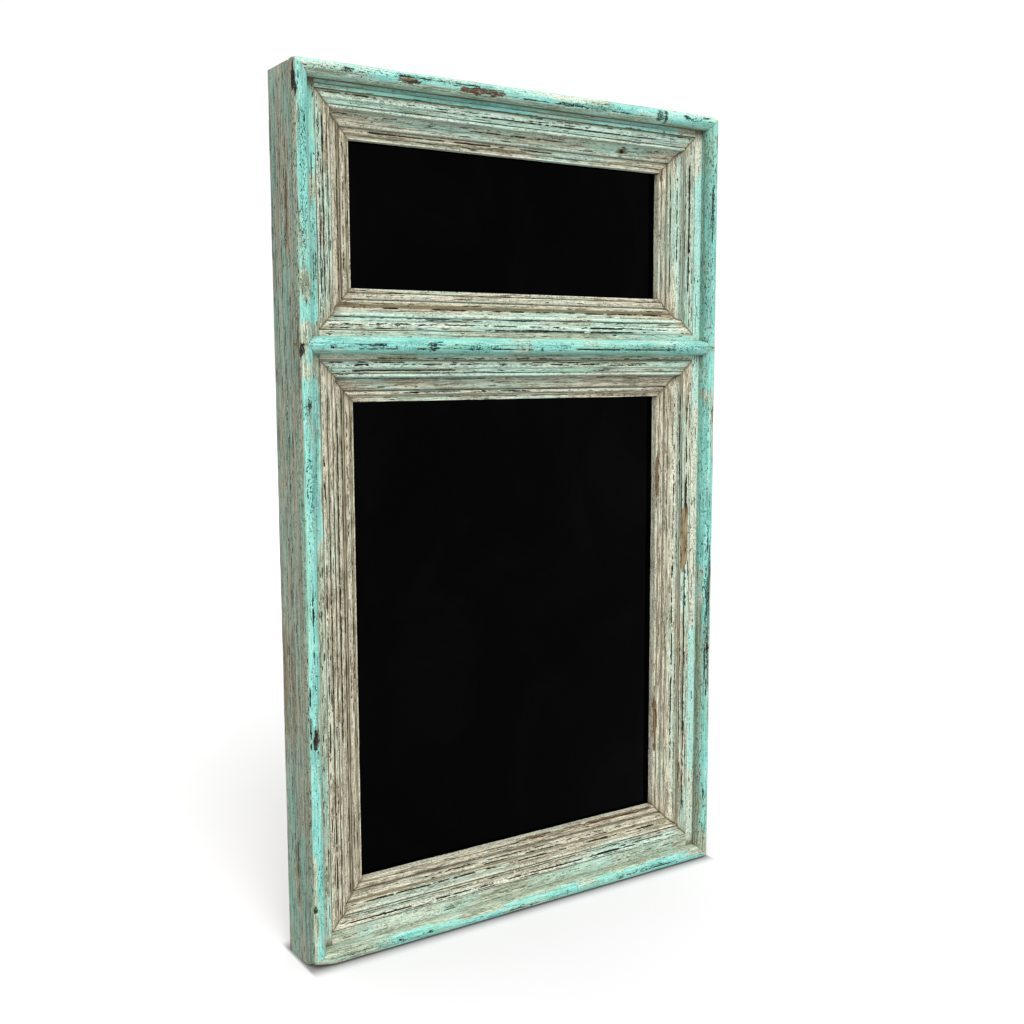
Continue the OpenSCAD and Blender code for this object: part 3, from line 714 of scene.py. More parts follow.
def painted_wood(name, paint, coats, chip, calm):
    """Old paint on timber. coats are its two front coats, each as a thin dark, a full and a
    bleached colour. The masks of the piece choose between coats, dirt with painted shade,
    chalk with painted highlights, bare wood and cracks, and stretched noise on the grain
    coordinate frays every edge between them. calm, from 0 up, makes the dark grain lines of
    the front coats fewer."""
    made = Recipe(name)
    place = made.grain_place()
    streak, hair, thread, fleck, speck, cloud, drift = (
        made.noise(place, (along, across, 1.0), *rest)
        for along, across, *rest in PAINT_NOISE.values())

    # Two front coats, each thin and dark in places and bleached in others, drift into each other
    thin = made.between(0.45 * streak + 0.25 * cloud + 0.3 * fleck, 0.41, 0.53)
    bleached = made.between(0.5 * hair + 0.3 * fleck + 0.2 * cloud, 0.50, 0.60)
    first, second = (made.blend(bleached, made.blend(thin, deep, full), pale)
                     for deep, full, pale in coats)
    second = made.blend(made.between(drift, 0.48, 0.66, 0.0, 0.5), second, paint.leaf)
    mixing = made.mask("tint") + 1.1 * (fleck - 0.5) + 1.1 * (streak - 0.5) + 0.8 * (cloud - 0.5)
    front = made.blend(made.between(mixing, 0.10, 0.90), first, second)

    # The side coat has dark, teal and tan streaks
    side = made.blend(made.between(0.5 * thread + 0.3 * streak + 0.2 * hair, 0.41, 0.53),
                      paint.side_deep, paint.side_pale)
    side = made.blend(made.between(drift, 0.50, 0.64, 0.0, 0.75), side, paint.side_teal)
    side = made.blend(made.between(drift + 0.3 * (streak - 0.5), 0.47, 0.36, 0.0, 0.65), side,
                      paint.side_tan)
    body = made.blend(made.mask("coat"), side, front)

    # Dark grain lines, fine black lines, chalky flakes with painted highlights, and dirt with
    # painted shade lie on top
    quiet = 0.07 * made.mask("tint") + calm * made.mask("coat")
    dark_hair = made.between(hair + quiet, 0.50, 0.38, 0.0, 0.85)
    body = made.blend(dark_hair, body, coats[0][0], "MULTIPLY")
    lines = thread + (0.04 + calm / 4) * made.mask("coat")
    body = made.blend(made.between(lines, 0.40, 0.35, 0.0, 0.75), body, paint.crack)
    chalk = made.mask("pale") * 0.10 + 0.6 * speck + 0.4 * fleck
    chalky = made.blend(made.between(mixing, 0.10, 0.90, 0.0, 0.65), paint.bleached, coats[1][2])
    body = made.blend(made.between(chalk, 0.56, 0.61, 0.0, 0.9), body, chalky)
    # Brown from the grime mask: dirt, and painted shade in hollows and under the beads
    dirt_and_shade = made.mask("grime_and_shade") * 1.1 + 1.2 * (cloud - 0.5) + 1.0 * (fleck - 0.5)
    body = made.blend(made.between(dirt_and_shade, 0.15, 0.95, 0.0, 0.85), body, paint.grime_and_shade)

    # Bare wood, chips and open cracks cut through them
    wood = made.blend(made.between(streak + 0.3 * made.mask("pale"), 0.52, 0.72), paint.wood,
                      paint.ochre)
    wood = made.blend(made.between(hair, 0.54, 0.38, 0.0, 0.85), wood, paint.crack)
    gone = made.between(made.mask("bare") + 2.2 * (fleck - 0.5), 0.38, 0.56)
    body = made.blend(gone, body, wood)
    chipped = made.between(made.mask("fleck") * 0.075 + 0.5 * fleck + 0.5 * speck, 0.595, 0.625)
    body = made.blend(chipped, body, chip)
    opened = made.between(made.mask("crack") + 1.5 * (speck - 0.5), 0.30, 0.60)
    body = made.blend(opened, body, paint.crack)

    height = 0.5 * hair + 0.35 * fleck + 0.25 * speck + 0.3 * cloud - 0.35 * gone - 0.4 * chipped
    rough = made.between(gone + opened + dirt_and_shade, 0.0, 1.5, 0.62, 0.95)
    return made.finish(Base_Color=body, Roughness=rough, Specular_IOR_Level=0.15,
                       Normal=made.bump(height, 0.0009, 0.8))


def plain_wood(name, light, dark, length_axis):
    """Unpainted softwood: streaks along one axis with darker late wood, and brown clouds."""
    made = Recipe(name)
    place = made.object_place()
    cells_along, cells_across = 5.0, 190.0
    scale = tuple(cells_along if axis == length_axis else cells_across for axis in range(3))
    rings = made.noise(place, scale, 3.0, 0.6, 0.6)
    fine = made.noise(place, tuple(5 * cells for cells in scale), 2.0, 0.6)
    cloud = made.noise(place, 9.0, 3.0, 0.6)
    body = made.blend(made.between(rings, 0.38, 0.62), light, dark)
    body = made.blend(made.between(fine, 0.52, 0.30, 0.0, 0.5), body, dark, "MULTIPLY")
    body = made.blend(made.between(cloud, 0.45, 0.70, 0.0, 0.35), body, (0.30, 0.22, 0.14))
    height = 0.6 * fine + 0.5 * rings
    return made.finish(Base_Color=body, Roughness=0.78, Normal=made.bump(height, 0.0004, 0.5))


def mirror_glass(name):
    """Old silvered glass with a painted dark reflection: its silver is kept almost black, as
    though it faced a dark room, and gives a sharp, very dim reflection with faint smudges.
    """
    made = Recipe(name)
    place = made.object_place()
    smudge = made.noise(place, (7.0, 7.0, 5.0), 5.0, 0.6, 0.8)
    rough = made.between(smudge, 0.42, 0.72, 0.02, 0.09)
    # Painted dark reflection: the silver's colour is almost black
    tone = made.blend(made.between(smudge, 0.40, 0.75), (0.0016, 0.0016, 0.0017),
                      (0.0026, 0.0026, 0.0027))
    return made.finish(Base_Color=tone, Metallic=1.0, Roughness=rough)


def aged_steel(name, colour, rust):
    """Plated steel gone dull, with brushed lines and rust in spots."""
    made = Recipe(name)
    place = made.object_place()
    brushed = made.noise(place, (300.0, 900.0, 300.0), 3.0, 0.6)
    spots = made.noise(place, 420.0, 4.0, 0.7)
    worn = made.between(spots, 0.55, 0.68, 0.0, rust)
    tone = made.blend(worn, made.blend(made.between(brushed, 0.35, 0.65), colour,
                                       [v * 0.72 for v in colour]), (0.16, 0.075, 0.035))
    rough = made.between(worn + 0.5 * brushed, 0.2, 1.0, 0.32, 0.85)
    metal = made.between(worn, 0.0, 0.8, 1.0, 0.1)
    return made.finish(Base_Color=tone, Metallic=metal, Roughness=rough,
                       Normal=made.bump(brushed + spots, 0.0001, 0.5))


def soft_rubber(name):
    """Dull black rubber with a moulded grain and dust."""
    made = Recipe(name)
    place = made.object_place()
    pebble = made.noise(place, 1400.0, 2.0, 0.5)
    dust = made.noise(place, 160.0, 4.0, 0.6)
    tone = made.blend(made.between(dust, 0.45, 0.75, 0.0, 0.5), (0.022, 0.022, 0.024),
                      (0.10, 0.095, 0.085))
    return made.finish(Base_Color=tone, Roughness=made.between(dust, 0.3, 0.7, 0.6, 0.85),
                       Normal=made.bump(pebble, 0.0002, 0.6))


# Beads


# Patches of sage (low) and turquoise (high) on the beads, by piece: start and end along in
# metres, start and end of the lane across in millimetres, and the share of turquoise. Across
# runs round the section: the outer wall ends at 6 mm, the crown lies at 21.5 and the round
# ends at 37.
BEAD_COATS = {
    "bead_left": ((0.770, 0.802, 8, 30, 0.20), (-0.01, 0.140, 5, 18.0, 0.15),
                  (-0.01, 0.145, 28, 46, 0.15),
                  (0.130, 0.480, 27, 46, 0.20), (0.683, 0.703, 5, 46, 0.10),
                  (0.727, 0.745, 5, 46, 0.15), (0.860, 0.900, 28, 46, 0.30)),
    "bead_right": ((-0.01, 0.045, 5, 46, 0.20), (0.040, 0.430, 29, 45, 0.35),
                   (0.570, 0.640, 8, 21, 0.30),
                   (0.645, 0.668, 14, 45, 0.25), (0.190, 0.430, 8, 19.5, 0.25)),
    "bead_top_long": ((-0.310, 0.207, 24.5, 46, 0.40), (-0.300, -0.215, 17, 30, 0.40),
                      (0.030, 0.120, 12, 21, 0.35), (-0.060, 0.010, 24, 30, 0.45)),
    "bead_top_short": ((0.206, 0.310, 29, 46, 0.45), (0.206, 0.216, 5, 46, 0.30)),
    "bead_bottom": ((-0.310, -0.215, 5, 46, 0.30), (-0.310, 0.310, 29, 46, 0.25),
                    (-0.110, -0.040, 23, 34, 0.25), (-0.045, 0.020, 14, 22, 0.40),
                    (0.070, 0.110, 22, 34, 0.30), (0.262, 0.310, 20, 46, 0.20)),
    "bead_middle": ((-0.300, -0.285, 5, 46, 1.00), (-0.020, 0.005, 10, 20, 0.30),
                    (0.195, 0.205, 14, 30, 0.30), (0.280, 0.300, 5, 46, 0.90)),
}


# Ragged marks that the photograph shows on the beads, by piece: a mask and its strength, then
# the place of each mark, along in metres and across in millimetres, and its half sizes
BEAD_MARKS = {
    "bead_left": (
        ("bare", 0.62, (0.272, 22.0, 0.018, 3.6), (0.655, 21.5, 0.008, 3.0)),
        ("crack", 0.66, (0.716, 14.5, 0.009, 3.4), (0.995, 14.0, 0.010, 3.0),
         (0.074, 16.0, 0.006, 3.4), (0.276, 20.0, 0.012, 3.0), (1.008, 10.0, 0.014, 3.6),
         (0.962, 24.0, 0.006, 2.4)),
        ("fleck", 1.0, (0.570, 22.0, 0.042, 6.0), (0.850, 20.0, 0.050, 6.0),
         (0.785, 19.0, 0.017, 8.0), (0.955, 21.0, 0.030, 6.0), (0.648, 16.0, 0.012, 7.0))),
    "bead_right": (
        ("fleck", 1.0, (0.925, 22.0, 0.070, 5.0), (0.370, 24.0, 0.110, 6.0),
         (0.090, 20.0, 0.030, 5.0)),
        ("bare", 0.62, (0.630, 16.5, 0.014, 4.0), (0.996, 15.0, 0.010, 4.0)),
        ("crack", 0.55, (0.900, 23.0, 0.045, 2.0), (0.984, 14.0, 0.009, 3.4),
         (0.940, 13.0, 0.012, 2.4))),
    "bead_top_long": (
        ("bare", 0.66, (-0.165, 21.0, 0.017, 5.0), (-0.068, 23.0, 0.036, 5.0)),
        ("crack", 0.55, (TOP_JOINT_X - 0.006, 21.0, 0.0075, 8.0), (-0.242, 19.5, 0.008, 3.0),
         (-0.160, 23.0, 0.010, 3.0), (0.060, 24.0, 0.030, 2.4)),
        ("fleck", 1.0, (0.110, 22.0, 0.040, 6.0), (-0.240, 20.0, 0.030, 5.0),
         (-0.110, 17.0, 0.120, 3.0))),
    "bead_top_short": (
        ("crack", 0.6, (0.245, 18.0, 0.007, 3.0), (0.211, 22.0, 0.004, 10.0),
         (0.280, 17.0, 0.008, 2.4)),
        ("fleck", 1.0, (0.262, 21.0, 0.018, 6.0))),
    "bead_bottom": (
        ("crack", 0.6, (-0.190, 20.5, 0.006, 2.4), (-0.150, 21.5, 0.005, 2.2),
         (0.145, 18.0, 0.006, 3.0)),
        ("fleck", 1.0, (-0.025, 18.0, 0.040, 3.0), (0.190, 21.0, 0.030, 4.0))),
    "bead_middle": (
        ("fleck", 1.0, (-0.205, 20.0, 0.036, 5.0), (-0.080, 19.0, 0.045, 5.0),
         (0.045, 19.0, 0.020, 6.0), (0.180, 19.0, 0.100, 5.0)),
        ("crack", 0.55, (-0.265, 18.0, 0.004, 2.6), (-0.137, 19.0, 0.011, 6.0),
         (0.017, 17.0, 0.003, 3.0), (-0.215, 21.0, 0.020, 2.4))),
}
# Open cracks that the photograph shows on the beads, as the surface's add_strokes takes them
BEAD_CRACKS = {
    "bead_left": ((14.5, 0.240, 0.345, 0.9, 0.60), (20.5, 0.140, 0.220, 0.7, 0.5),
                  (20.5, 0.360, 0.450, 0.7, 0.55), (31.0, 0.100, 0.660, 0.7, 0.5)),
    "bead_right": ((20.0, 0.240, 0.460, 1.1, 0.8), (22.5, 0.230, 0.480, 0.9, 0.5),
                   (25.5, 0.250, 0.430, 0.8, 0.5), (23.0, 0.850, 0.945, 0.9, 0.5),
                   (19.0, 0.060, 0.200, 0.7, 0.4)),
    "bead_top_long": ((18.0, -0.245, -0.050, 0.8, 0.55), (25.0, -0.030, 0.200, 0.7, 0.5)),
    "bead_top_short": (),
    "bead_bottom": ((17.0, -0.060, 0.020, 0.8, 0.55), (20.0, 0.150, 0.240, 0.8, 0.5)),
    "bead_middle": ((16.0, -0.240, 0.020, 0.8, 0.5), (17.0, 0.060, 0.240, 0.9, 0.6)),
}
# Faint cracks all along every bead: place across and half width in millimetres, share covered
BEAD_FAINT = ((17, 0.5, 0.30), (21, 0.5, 0.30), (25, 0.5, 0.30), (29, 0.5, 0.28), (12, 0.6, 0.30))


class BeadLook(NamedTuple):
    """How one bead differs from the others."""

    side_coat: float = 28  # degrees of the round, from the wall, that the side coat covers
    chalk_place: float = -7.5  # millimetres from the crown to the chalky band
    chalk: float = 0.6  # strength of that band
    end_loss: float = 0.6  # share of turquoise lost at the ends
    inner_dirt_and_shade: float = 0.12  # dirt along the inner foot, and painted shade there on the top bead


# The top bead gets more chalk, and strong brown along its inner foot: dirt and painted shade
TOP_BEAD = BeadLook(chalk=2.2, inner_dirt_and_shade=0.9)
BEAD_LOOKS = {"bead_left": BeadLook(side_coat=44), "bead_right": BeadLook(),
              "bead_top_long": TOP_BEAD, "bead_top_short": TOP_BEAD,
              "bead_bottom": BeadLook(), "bead_middle": BeadLook(chalk_place=8.5, end_loss=0.3)}


def bead_masks(name, along, outline, seed, ends, joints=()):
    """Wear of a bead. The outer wall has the side coat, the round has turquoise that thins to
    sage at the ends and in patches, small dark chips lie near the crown, and dirt fills the
    corners. Brown and dark chips also lie as painted shade along the top bead's inner foot,
    over the right bead's inner half and on the bottom bead's lower side."""
    look = BEAD_LOOKS[name]
    made = Surface(along, outline, seed)
    across = made.across
    wall = BEAD_PROUD - BEAD_W / 2
    crown = wall + math.pi * BEAD_W / 4
    wrap = wall + math.radians(look.side_coat) * BEAD_W / 2
    edge = wrap + 2.4 * MM * (grain(along, across, 0.03, 0.004, seed + 1, 3) - 0.5)
    made.coat = fade(across, edge - 0.4 * MM, edge + 0.4 * MM)
    from_end = np.maximum(np.minimum(along - ends[0], ends[1] - along), 0)
    for joint in joints:
        from_end = np.minimum(from_end, np.abs(along - joint))
    patches = grain(along, across, 0.05, 0.008, seed + 2, 3)
    made.tint = 1.02 - 0.5 * fade(patches, 0.56, 0.80)
    made.set_areas("tint", *BEAD_COATS[name])
    made.tint -= look.end_loss * np.exp(-from_end / 0.010)
    made.grime_and_shade = np.exp(-from_end / 0.013) * fade(across, crown + 1 * MM, crown + 11 * MM)
    # Brown along the inner foot: dirt, and painted shade on the top bead
    made.raise_to("grime_and_shade", look.inner_dirt_and_shade * fade(across, crown + 13.3 * MM, crown + 15.2 * MM))
    made.raise_to("grime_and_shade", 0.35 * bell(across, edge, 0.8 * MM))
    made.raise_to("grime_and_shade", 0.9 * np.exp(-from_end / 0.0015))
    chalk_band = bell(across, crown + look.chalk_place * MM, 6 * MM)
    made.pale = look.chalk * chalk_band * fade(patches, 0.30, 0.60)
    busy = fade(grain(along, across, 0.05, 0.02, seed + 3), 0.35, 0.75)
    made.fleck = bell(across, crown + 0.5 * MM, 7 * MM) * (0.15 + 0.65 * busy)
    made.add_strokes(*((place, *ends, width, fill) for place, width, fill in BEAD_FAINT))
    for layer, strength, *marks in BEAD_MARKS[name]:
        made.add_marks(layer, *marks, strength=strength)
    made.add_strokes(*BEAD_CRACKS[name])
    if name == "bead_left":
        below_edge = edge - across
        made.pale = 0.15 * made.coat
        # A darker outer flank just below the side coat's edge: brown over it and dense dark chips
        made.raise_to("grime_and_shade", 0.35 * fade(across, 2 * MM, 5 * MM) * fade(below_edge, 0.0, 1 * MM))
        made.raise_to("fleck", 0.65 * fade(below_edge, 0.0, 1.5 * MM))
    if name == "bead_right":
        # Painted shade, with some dirt, on the inner half: brown along it, less on the clear middle
        # stretch, and dense dark chips on the flank
        clear = fade(along, 0.33, 0.37) * fade(0.76 - along, 0.0, 0.04)
        made.raise_to("grime_and_shade", (0.46 - 0.34 * clear) * fade(across, crown - 4 * MM, crown + 4 * MM))
        made.raise_to("fleck", 0.75 * fade(across, crown + 1 * MM, crown + 6 * MM))
    if name == "bead_bottom":
        # Painted shade on the lower side, next to the floor: brown over it
        made.raise_to("grime_and_shade", 1.1 * fade(15.5 * MM - across, 0.0, 4.0 * MM))
    if name == "bead_middle":
        made.coat[:] = 1.0
    return made


class WALLMIRROR_OT_beads(bpy.types.Operator):
    """Half round beads along the outer edges and across the middle rail"""

    bl_idname = "wallmirror.beads"
    bl_label = "Beads"

    def execute(self, context):
        wear, paint = context.scene.wall_mirror_wear, context.scene.wall_mirror_paint
        material = painted_wood("bead_turquoise_paint", paint, green_coats(paint), paint.slate,
                                0.06)
        outline = bead_outline(wear)
        self.side_beads(outline, wear, material)
        self.level_beads(outline, wear, material)
        return {"FINISHED"}

    def side_beads(self, outline, wear, material):
        """The side beads run from mitre to mitre and have a V notch for the middle bead: two
        rings at the notch sink its inner half to the face of the stile."""
        half_gap, crown = MITRE_GAP / 2, BEAD_W / 2
        notch = np.maximum(outline.u - crown, 0.0) + MITRE_GAP
        lower = rows_between(outline.u + half_gap, MID_Z - notch, wear.step_along)
        upper = rows_between(MID_Z + notch, FRAME_TOP - outline.u - half_gap, wear.step_along)
        along = np.concatenate([lower, lower[-1:] + half_gap, upper[:1] - half_gap, upper])
        sunk = np.zeros((len(along), 1))
        sunk[len(lower):len(lower) + 2] = 1.0
        notched = outline.sunk(sunk * (outline.u > crown + MITRE_GAP))
        for edge, seed in (("left", 101), ("right", 151)):
            name = f"bead_{edge}"
            masks = bead_masks(name, along, outline, seed, (0.0, FRAME_TOP), (MID_Z,))
            self.build(name, masks, notched, (edge, OUTER_RECT, FACE_Y), wear, material)

    def level_beads(self, outline, wear, material):
        """The top bead in two lengths with a broken joint, the bottom bead, and the middle
        bead, whose ends come to a point where it is let into the side beads."""
        half_gap, tip = MITRE_GAP / 2, HALF_W - BEAD_W / 2
        mitre = outline.u - HALF_W + half_gap
        point = np.abs(outline.u - BEAD_W / 2) + half_gap - tip
        joint = np.full_like(outline.u, TOP_JOINT_X)
        middle_rect = (-HALF_W, HALF_W, MID_LOW, MID_HIGH)
        runs = (("bead_top_long", "top", OUTER_RECT, mitre, joint - half_gap, HALF_W, 201),
                ("bead_top_short", "top", OUTER_RECT, joint + half_gap, -mitre, HALF_W, 231),
                ("bead_bottom", "bottom", OUTER_RECT, mitre, -mitre, HALF_W, 261),
                ("bead_middle", "bottom", middle_rect, point, -point, tip, 291))
        for name, edge, rect, start, end, reach, seed in runs:
            along = rows_between(start, end, wear.step_along)
            masks = bead_masks(name, along, outline, seed, (-reach, reach))
            self.build(name, masks, outline, (edge, rect, FACE_Y), wear, material)

    def build(self, name, masks, outline, site, wear, material):
        """One bead, whose relief fades out at its seat, with the frame's corners rounded."""
        build_worn(name, material, masks, outline, site, wear,
                   seat=fade(outline.h, 0.2 * MM, 1.2 * MM), shapers=(round_corners, wear_foot))


# Mouldings


# Lines along the mouldings of each edge, or of one moulding that has its own: painted shade
# # with dirt in the hollows and grooves, and painted highlights with chalky rubbed paint on the
# # crests. Each gives distance from the outer edge and half width in millimetres, and
# # strength, below 0 for painted shade and dirt and above it for painted highlight and chalky paint
SHADE_DIRT_AND_HIGHLIGHT_LINES = {
    "top": ((0.6, 1.4, -0.9), (6.0, 2.4, 1.0), (9.4, 0.5, -0.5), (12.5, 1.5, -0.25),
            (14.2, 0.4, -0.4), (16.9, 0.9, 1.3), (21.5, 1.8, 0.6), (26.0, 1.6, -0.35),
            (33.6, 1.9, 1.6), (37.0, 1.0, -0.6), (42.8, 0.6, -0.5), (47.0, 1.0, 1.3)),
    "lower_top": ((0.6, 1.4, -0.7), (6.0, 2.4, 1.0), (9.4, 0.5, -0.5), (12.5, 1.5, -0.25),
                  (14.2, 0.4, -0.4), (17.2, 1.1, 1.4), (21.5, 1.8, -0.3), (26.0, 1.6, -0.35),
                  (36.6, 1.3, 1.6), (40.2, 1.3, -0.8), (42.8, 0.6, -0.5), (47.0, 1.4, 0.6)),
    "bottom": ((0.5, 0.6, -0.3), (4.0, 3.6, 1.0), (9.4, 0.5, -0.4), (12.0, 1.8, 0.6),
               (14.2, 0.4, -0.5), (16.9, 1.0, 1.2), (25.0, 1.5, -0.85), (28.0, 1.0, 1.3),
               (31.0, 1.4, 0.5), (34.6, 0.5, -0.35), (42.8, 0.6, -0.6), (47.0, 1.4, 0.8)),
    "upper_bottom": ((0.5, 0.6, -0.3), (7.0, 3.0, 0.9), (9.4, 0.5, -0.3), (14.2, 0.4, -0.5),
                     (18.5, 2.6, 1.0), (27.8, 2.6, -1.0), (35.2, 1.9, 1.9),
                     (38.5, 2.0, 0.6), (42.8, 0.6, -0.6), (47.0, 1.4, 0.8)),
    "left": ((0.0, 0.8, -0.4), (1.4, 1.4, 0.7), (9.4, 0.6, -0.6), (14.2, 0.5, -0.6),
             (18.2, 1.2, -0.6), (24.5, 2.2, 0.9), (31.0, 1.5, -0.85), (35.5, 1.2, -0.5),
             (38.9, 1.5, 0.3), (42.8, 0.6, -0.6), (44.5, 1.5, -0.7), (47.0, 1.0, 0.6)),
    "right": ((0.0, 0.8, -0.5), (1.2, 1.4, 0.6), (9.4, 0.6, -0.5), (14.2, 0.5, -0.5),
              (17.8, 1.3, -0.9), (20.9, 1.5, 1.2), (23.5, 1.5, 0.3), (30.5, 2.0, -0.5),
              (34.0, 0.8, 0.4), (34.9, 0.5, -0.5), (42.8, 0.6, -0.7), (47.0, 1.4, 0.6)),
}
# Faint cracks all along every moulding: distance from its outer edge and half width in
# millimetres, and share covered
FAINT = ((2.2, 0.6, 0.42), (6.0, 0.6, 0.42), (12.0, 0.5, 0.35), (14.4, 0.5, 0.85),
         (16.0, 0.4, 0.3), (19.6, 0.4, 0.45), (21.5, 0.6, 0.42), (30.5, 0.5, 0.38),
         (38.0, 0.5, 0.36), (41.0, 0.4, 0.3), (43.0, 0.4, 0.45), (45.0, 0.5, 0.34))
# Open cracks that the photograph shows, by moulding: distance from the outer edge in
# millimetres, start and end along in metres, half width in millimetres and share covered
CRACKS = {
    "lower_left": ((8.7, 0.05, 0.68, 1.1, 0.72), (3.0, 0.15, 0.60, 0.8, 0.5),
                   (22.0, 0.13, 0.30, 0.6, 0.75), (24.8, 0.25, 0.66, 1.1, 0.75),
                   (38.0, 0.27, 0.62, 0.6, 0.4), (31.0, 0.06, 0.68, 0.5, 0.6)),
    "lower_bottom": ((4.8, -0.26, 0.19, 0.9, 0.62), (11.5, -0.26, 0.24, 0.5, 0.6),
                     (21.5, -0.23, 0.24, 0.9, 0.55), (31.5, -0.14, 0.13, 0.8, 0.5),
                     (36.3, -0.21, 0.20, 0.8, 0.60), (8.2, 0.15, 0.24, 0.8, 0.6),
                     (27.0, -0.20, 0.22, 0.7, 0.45)),
    "lower_right": ((7.6, 0.07, 0.43, 1.0, 0.72), (13.3, 0.11, 0.33, 0.7, 0.62),
                    (22.0, 0.14, 0.44, 0.8, 0.6), (19.0, 0.53, 0.67, 1.0, 0.55),
                    (7.0, 0.49, 0.67, 0.8, 0.5), (34.8, 0.10, 0.22, 0.7, 0.7),
                    (30.5, 0.46, 0.58, 0.6, 0.55)),
    "lower_top": ((4.5, -0.25, 0.22, 0.8, 0.5), (11.0, -0.24, -0.09, 1.0, 0.66),
                  (20.8, -0.24, 0.20, 0.7, 0.5), (36.5, -0.22, 0.02, 0.9, 0.5)),
    "upper_top": ((8.6, -0.13, 0.22, 1.0, 0.64), (2.5, -0.25, -0.18, 0.6, 0.5),
                  (24.0, -0.22, 0.10, 0.7, 0.5), (38.0, -0.23, 0.06, 1.0, 0.62),
                  (5.0, -0.20, 0.25, 0.4, 0.35)),
    "upper_bottom": ((7.0, -0.25, 0.20, 0.7, 0.50), (1.4, -0.06, 0.18, 0.9, 0.66),
                     (13.5, -0.25, 0.20, 0.6, 0.50), (25.5, -0.24, 0.24, 0.8, 0.5)),
    "upper_left": ((8.8, 0.77, 0.98, 1.2, 0.66), (4.0, 0.76, 0.98, 0.8, 0.55),
                   (20.5, 0.79, 0.96, 1.1, 0.62), (38.5, 0.80, 0.94, 0.6, 0.4),
                   (31.0, 0.77, 0.98, 0.5, 0.6)),
    "upper_right": ((8.0, 0.79, 0.97, 1.2, 0.66), (13.5, 0.90, 0.98, 0.8, 0.55),
                    (21.5, 0.80, 0.94, 0.6, 0.45), (30.0, 0.79, 0.94, 0.9, 0.6)),
}
# Share of the mint coat on each moulding
MINT = {"upper_top": 1.05, "upper_right": 0.85, "upper_bottom": 0.72, "upper_left": 0.40,
        "lower_top": 0.80, "lower_right": 0.45, "lower_bottom": 0.42, "lower_left": 0.22}


def moulding_masks(name, along, outline, seed, ends):
    """Wear of a moulding: cracks in lines along its members, dirt with painted shade in the
    hollows, dirt towards the mitres, chalky paint with painted highlights on the crests, and
    a thin mint coat that is stronger on some pieces and thins out towards the glass."""
    made = Surface(along, outline, seed)
    across, u = made.across, made.u
    made.coat[:] = 1.0
    from_end = np.maximum(np.minimum(along - ends[0] - u, ends[1] - along - u), 0)
    patches = grain(along, across, 0.09, 0.010, seed + 2, 3)
    inward = 1.3 - 0.85 * fade(u, 8 * MM, 34 * MM)
    made.tint = MINT[name] * inward * (0.55 + 0.9 * fade(patches, 0.35, 0.75))
    made.tint -= 0.4 * np.exp(-from_end / 0.02)
    # Painted shade with dirt along the hollows, painted highlights with chalk along the crests
    for place, half, share in SHADE_DIRT_AND_HIGHLIGHT_LINES.get(name, SHADE_DIRT_AND_HIGHLIGHT_LINES[name.split("_")[1]]):
        layer = "pale" if share > 0 else "grime_and_shade"
        made.raise_to(layer, abs(share) * bell(u, place * MM, half * MM))
    made.raise_to("grime_and_shade", 0.9 * np.exp(-from_end / 0.0018))
    made.raise_to("grime_and_shade", 0.5 * np.exp(-from_end / 0.016) * fade(patches, 0.30, 0.6))
    made.fleck = 0.45 * fade(grain(along, across, 0.05, 0.006, seed + 3), 0.45, 0.8)
    faint = [(outline.round_to(place), *ends, width, fill) for place, width, fill in FAINT]
    open_cracks = [(outline.round_to(place), *rest) for place, *rest in CRACKS[name]]
    made.add_strokes(*faint, *open_cracks)
    made.crack *= fade(from_end, 0.002, 0.008)
    return made


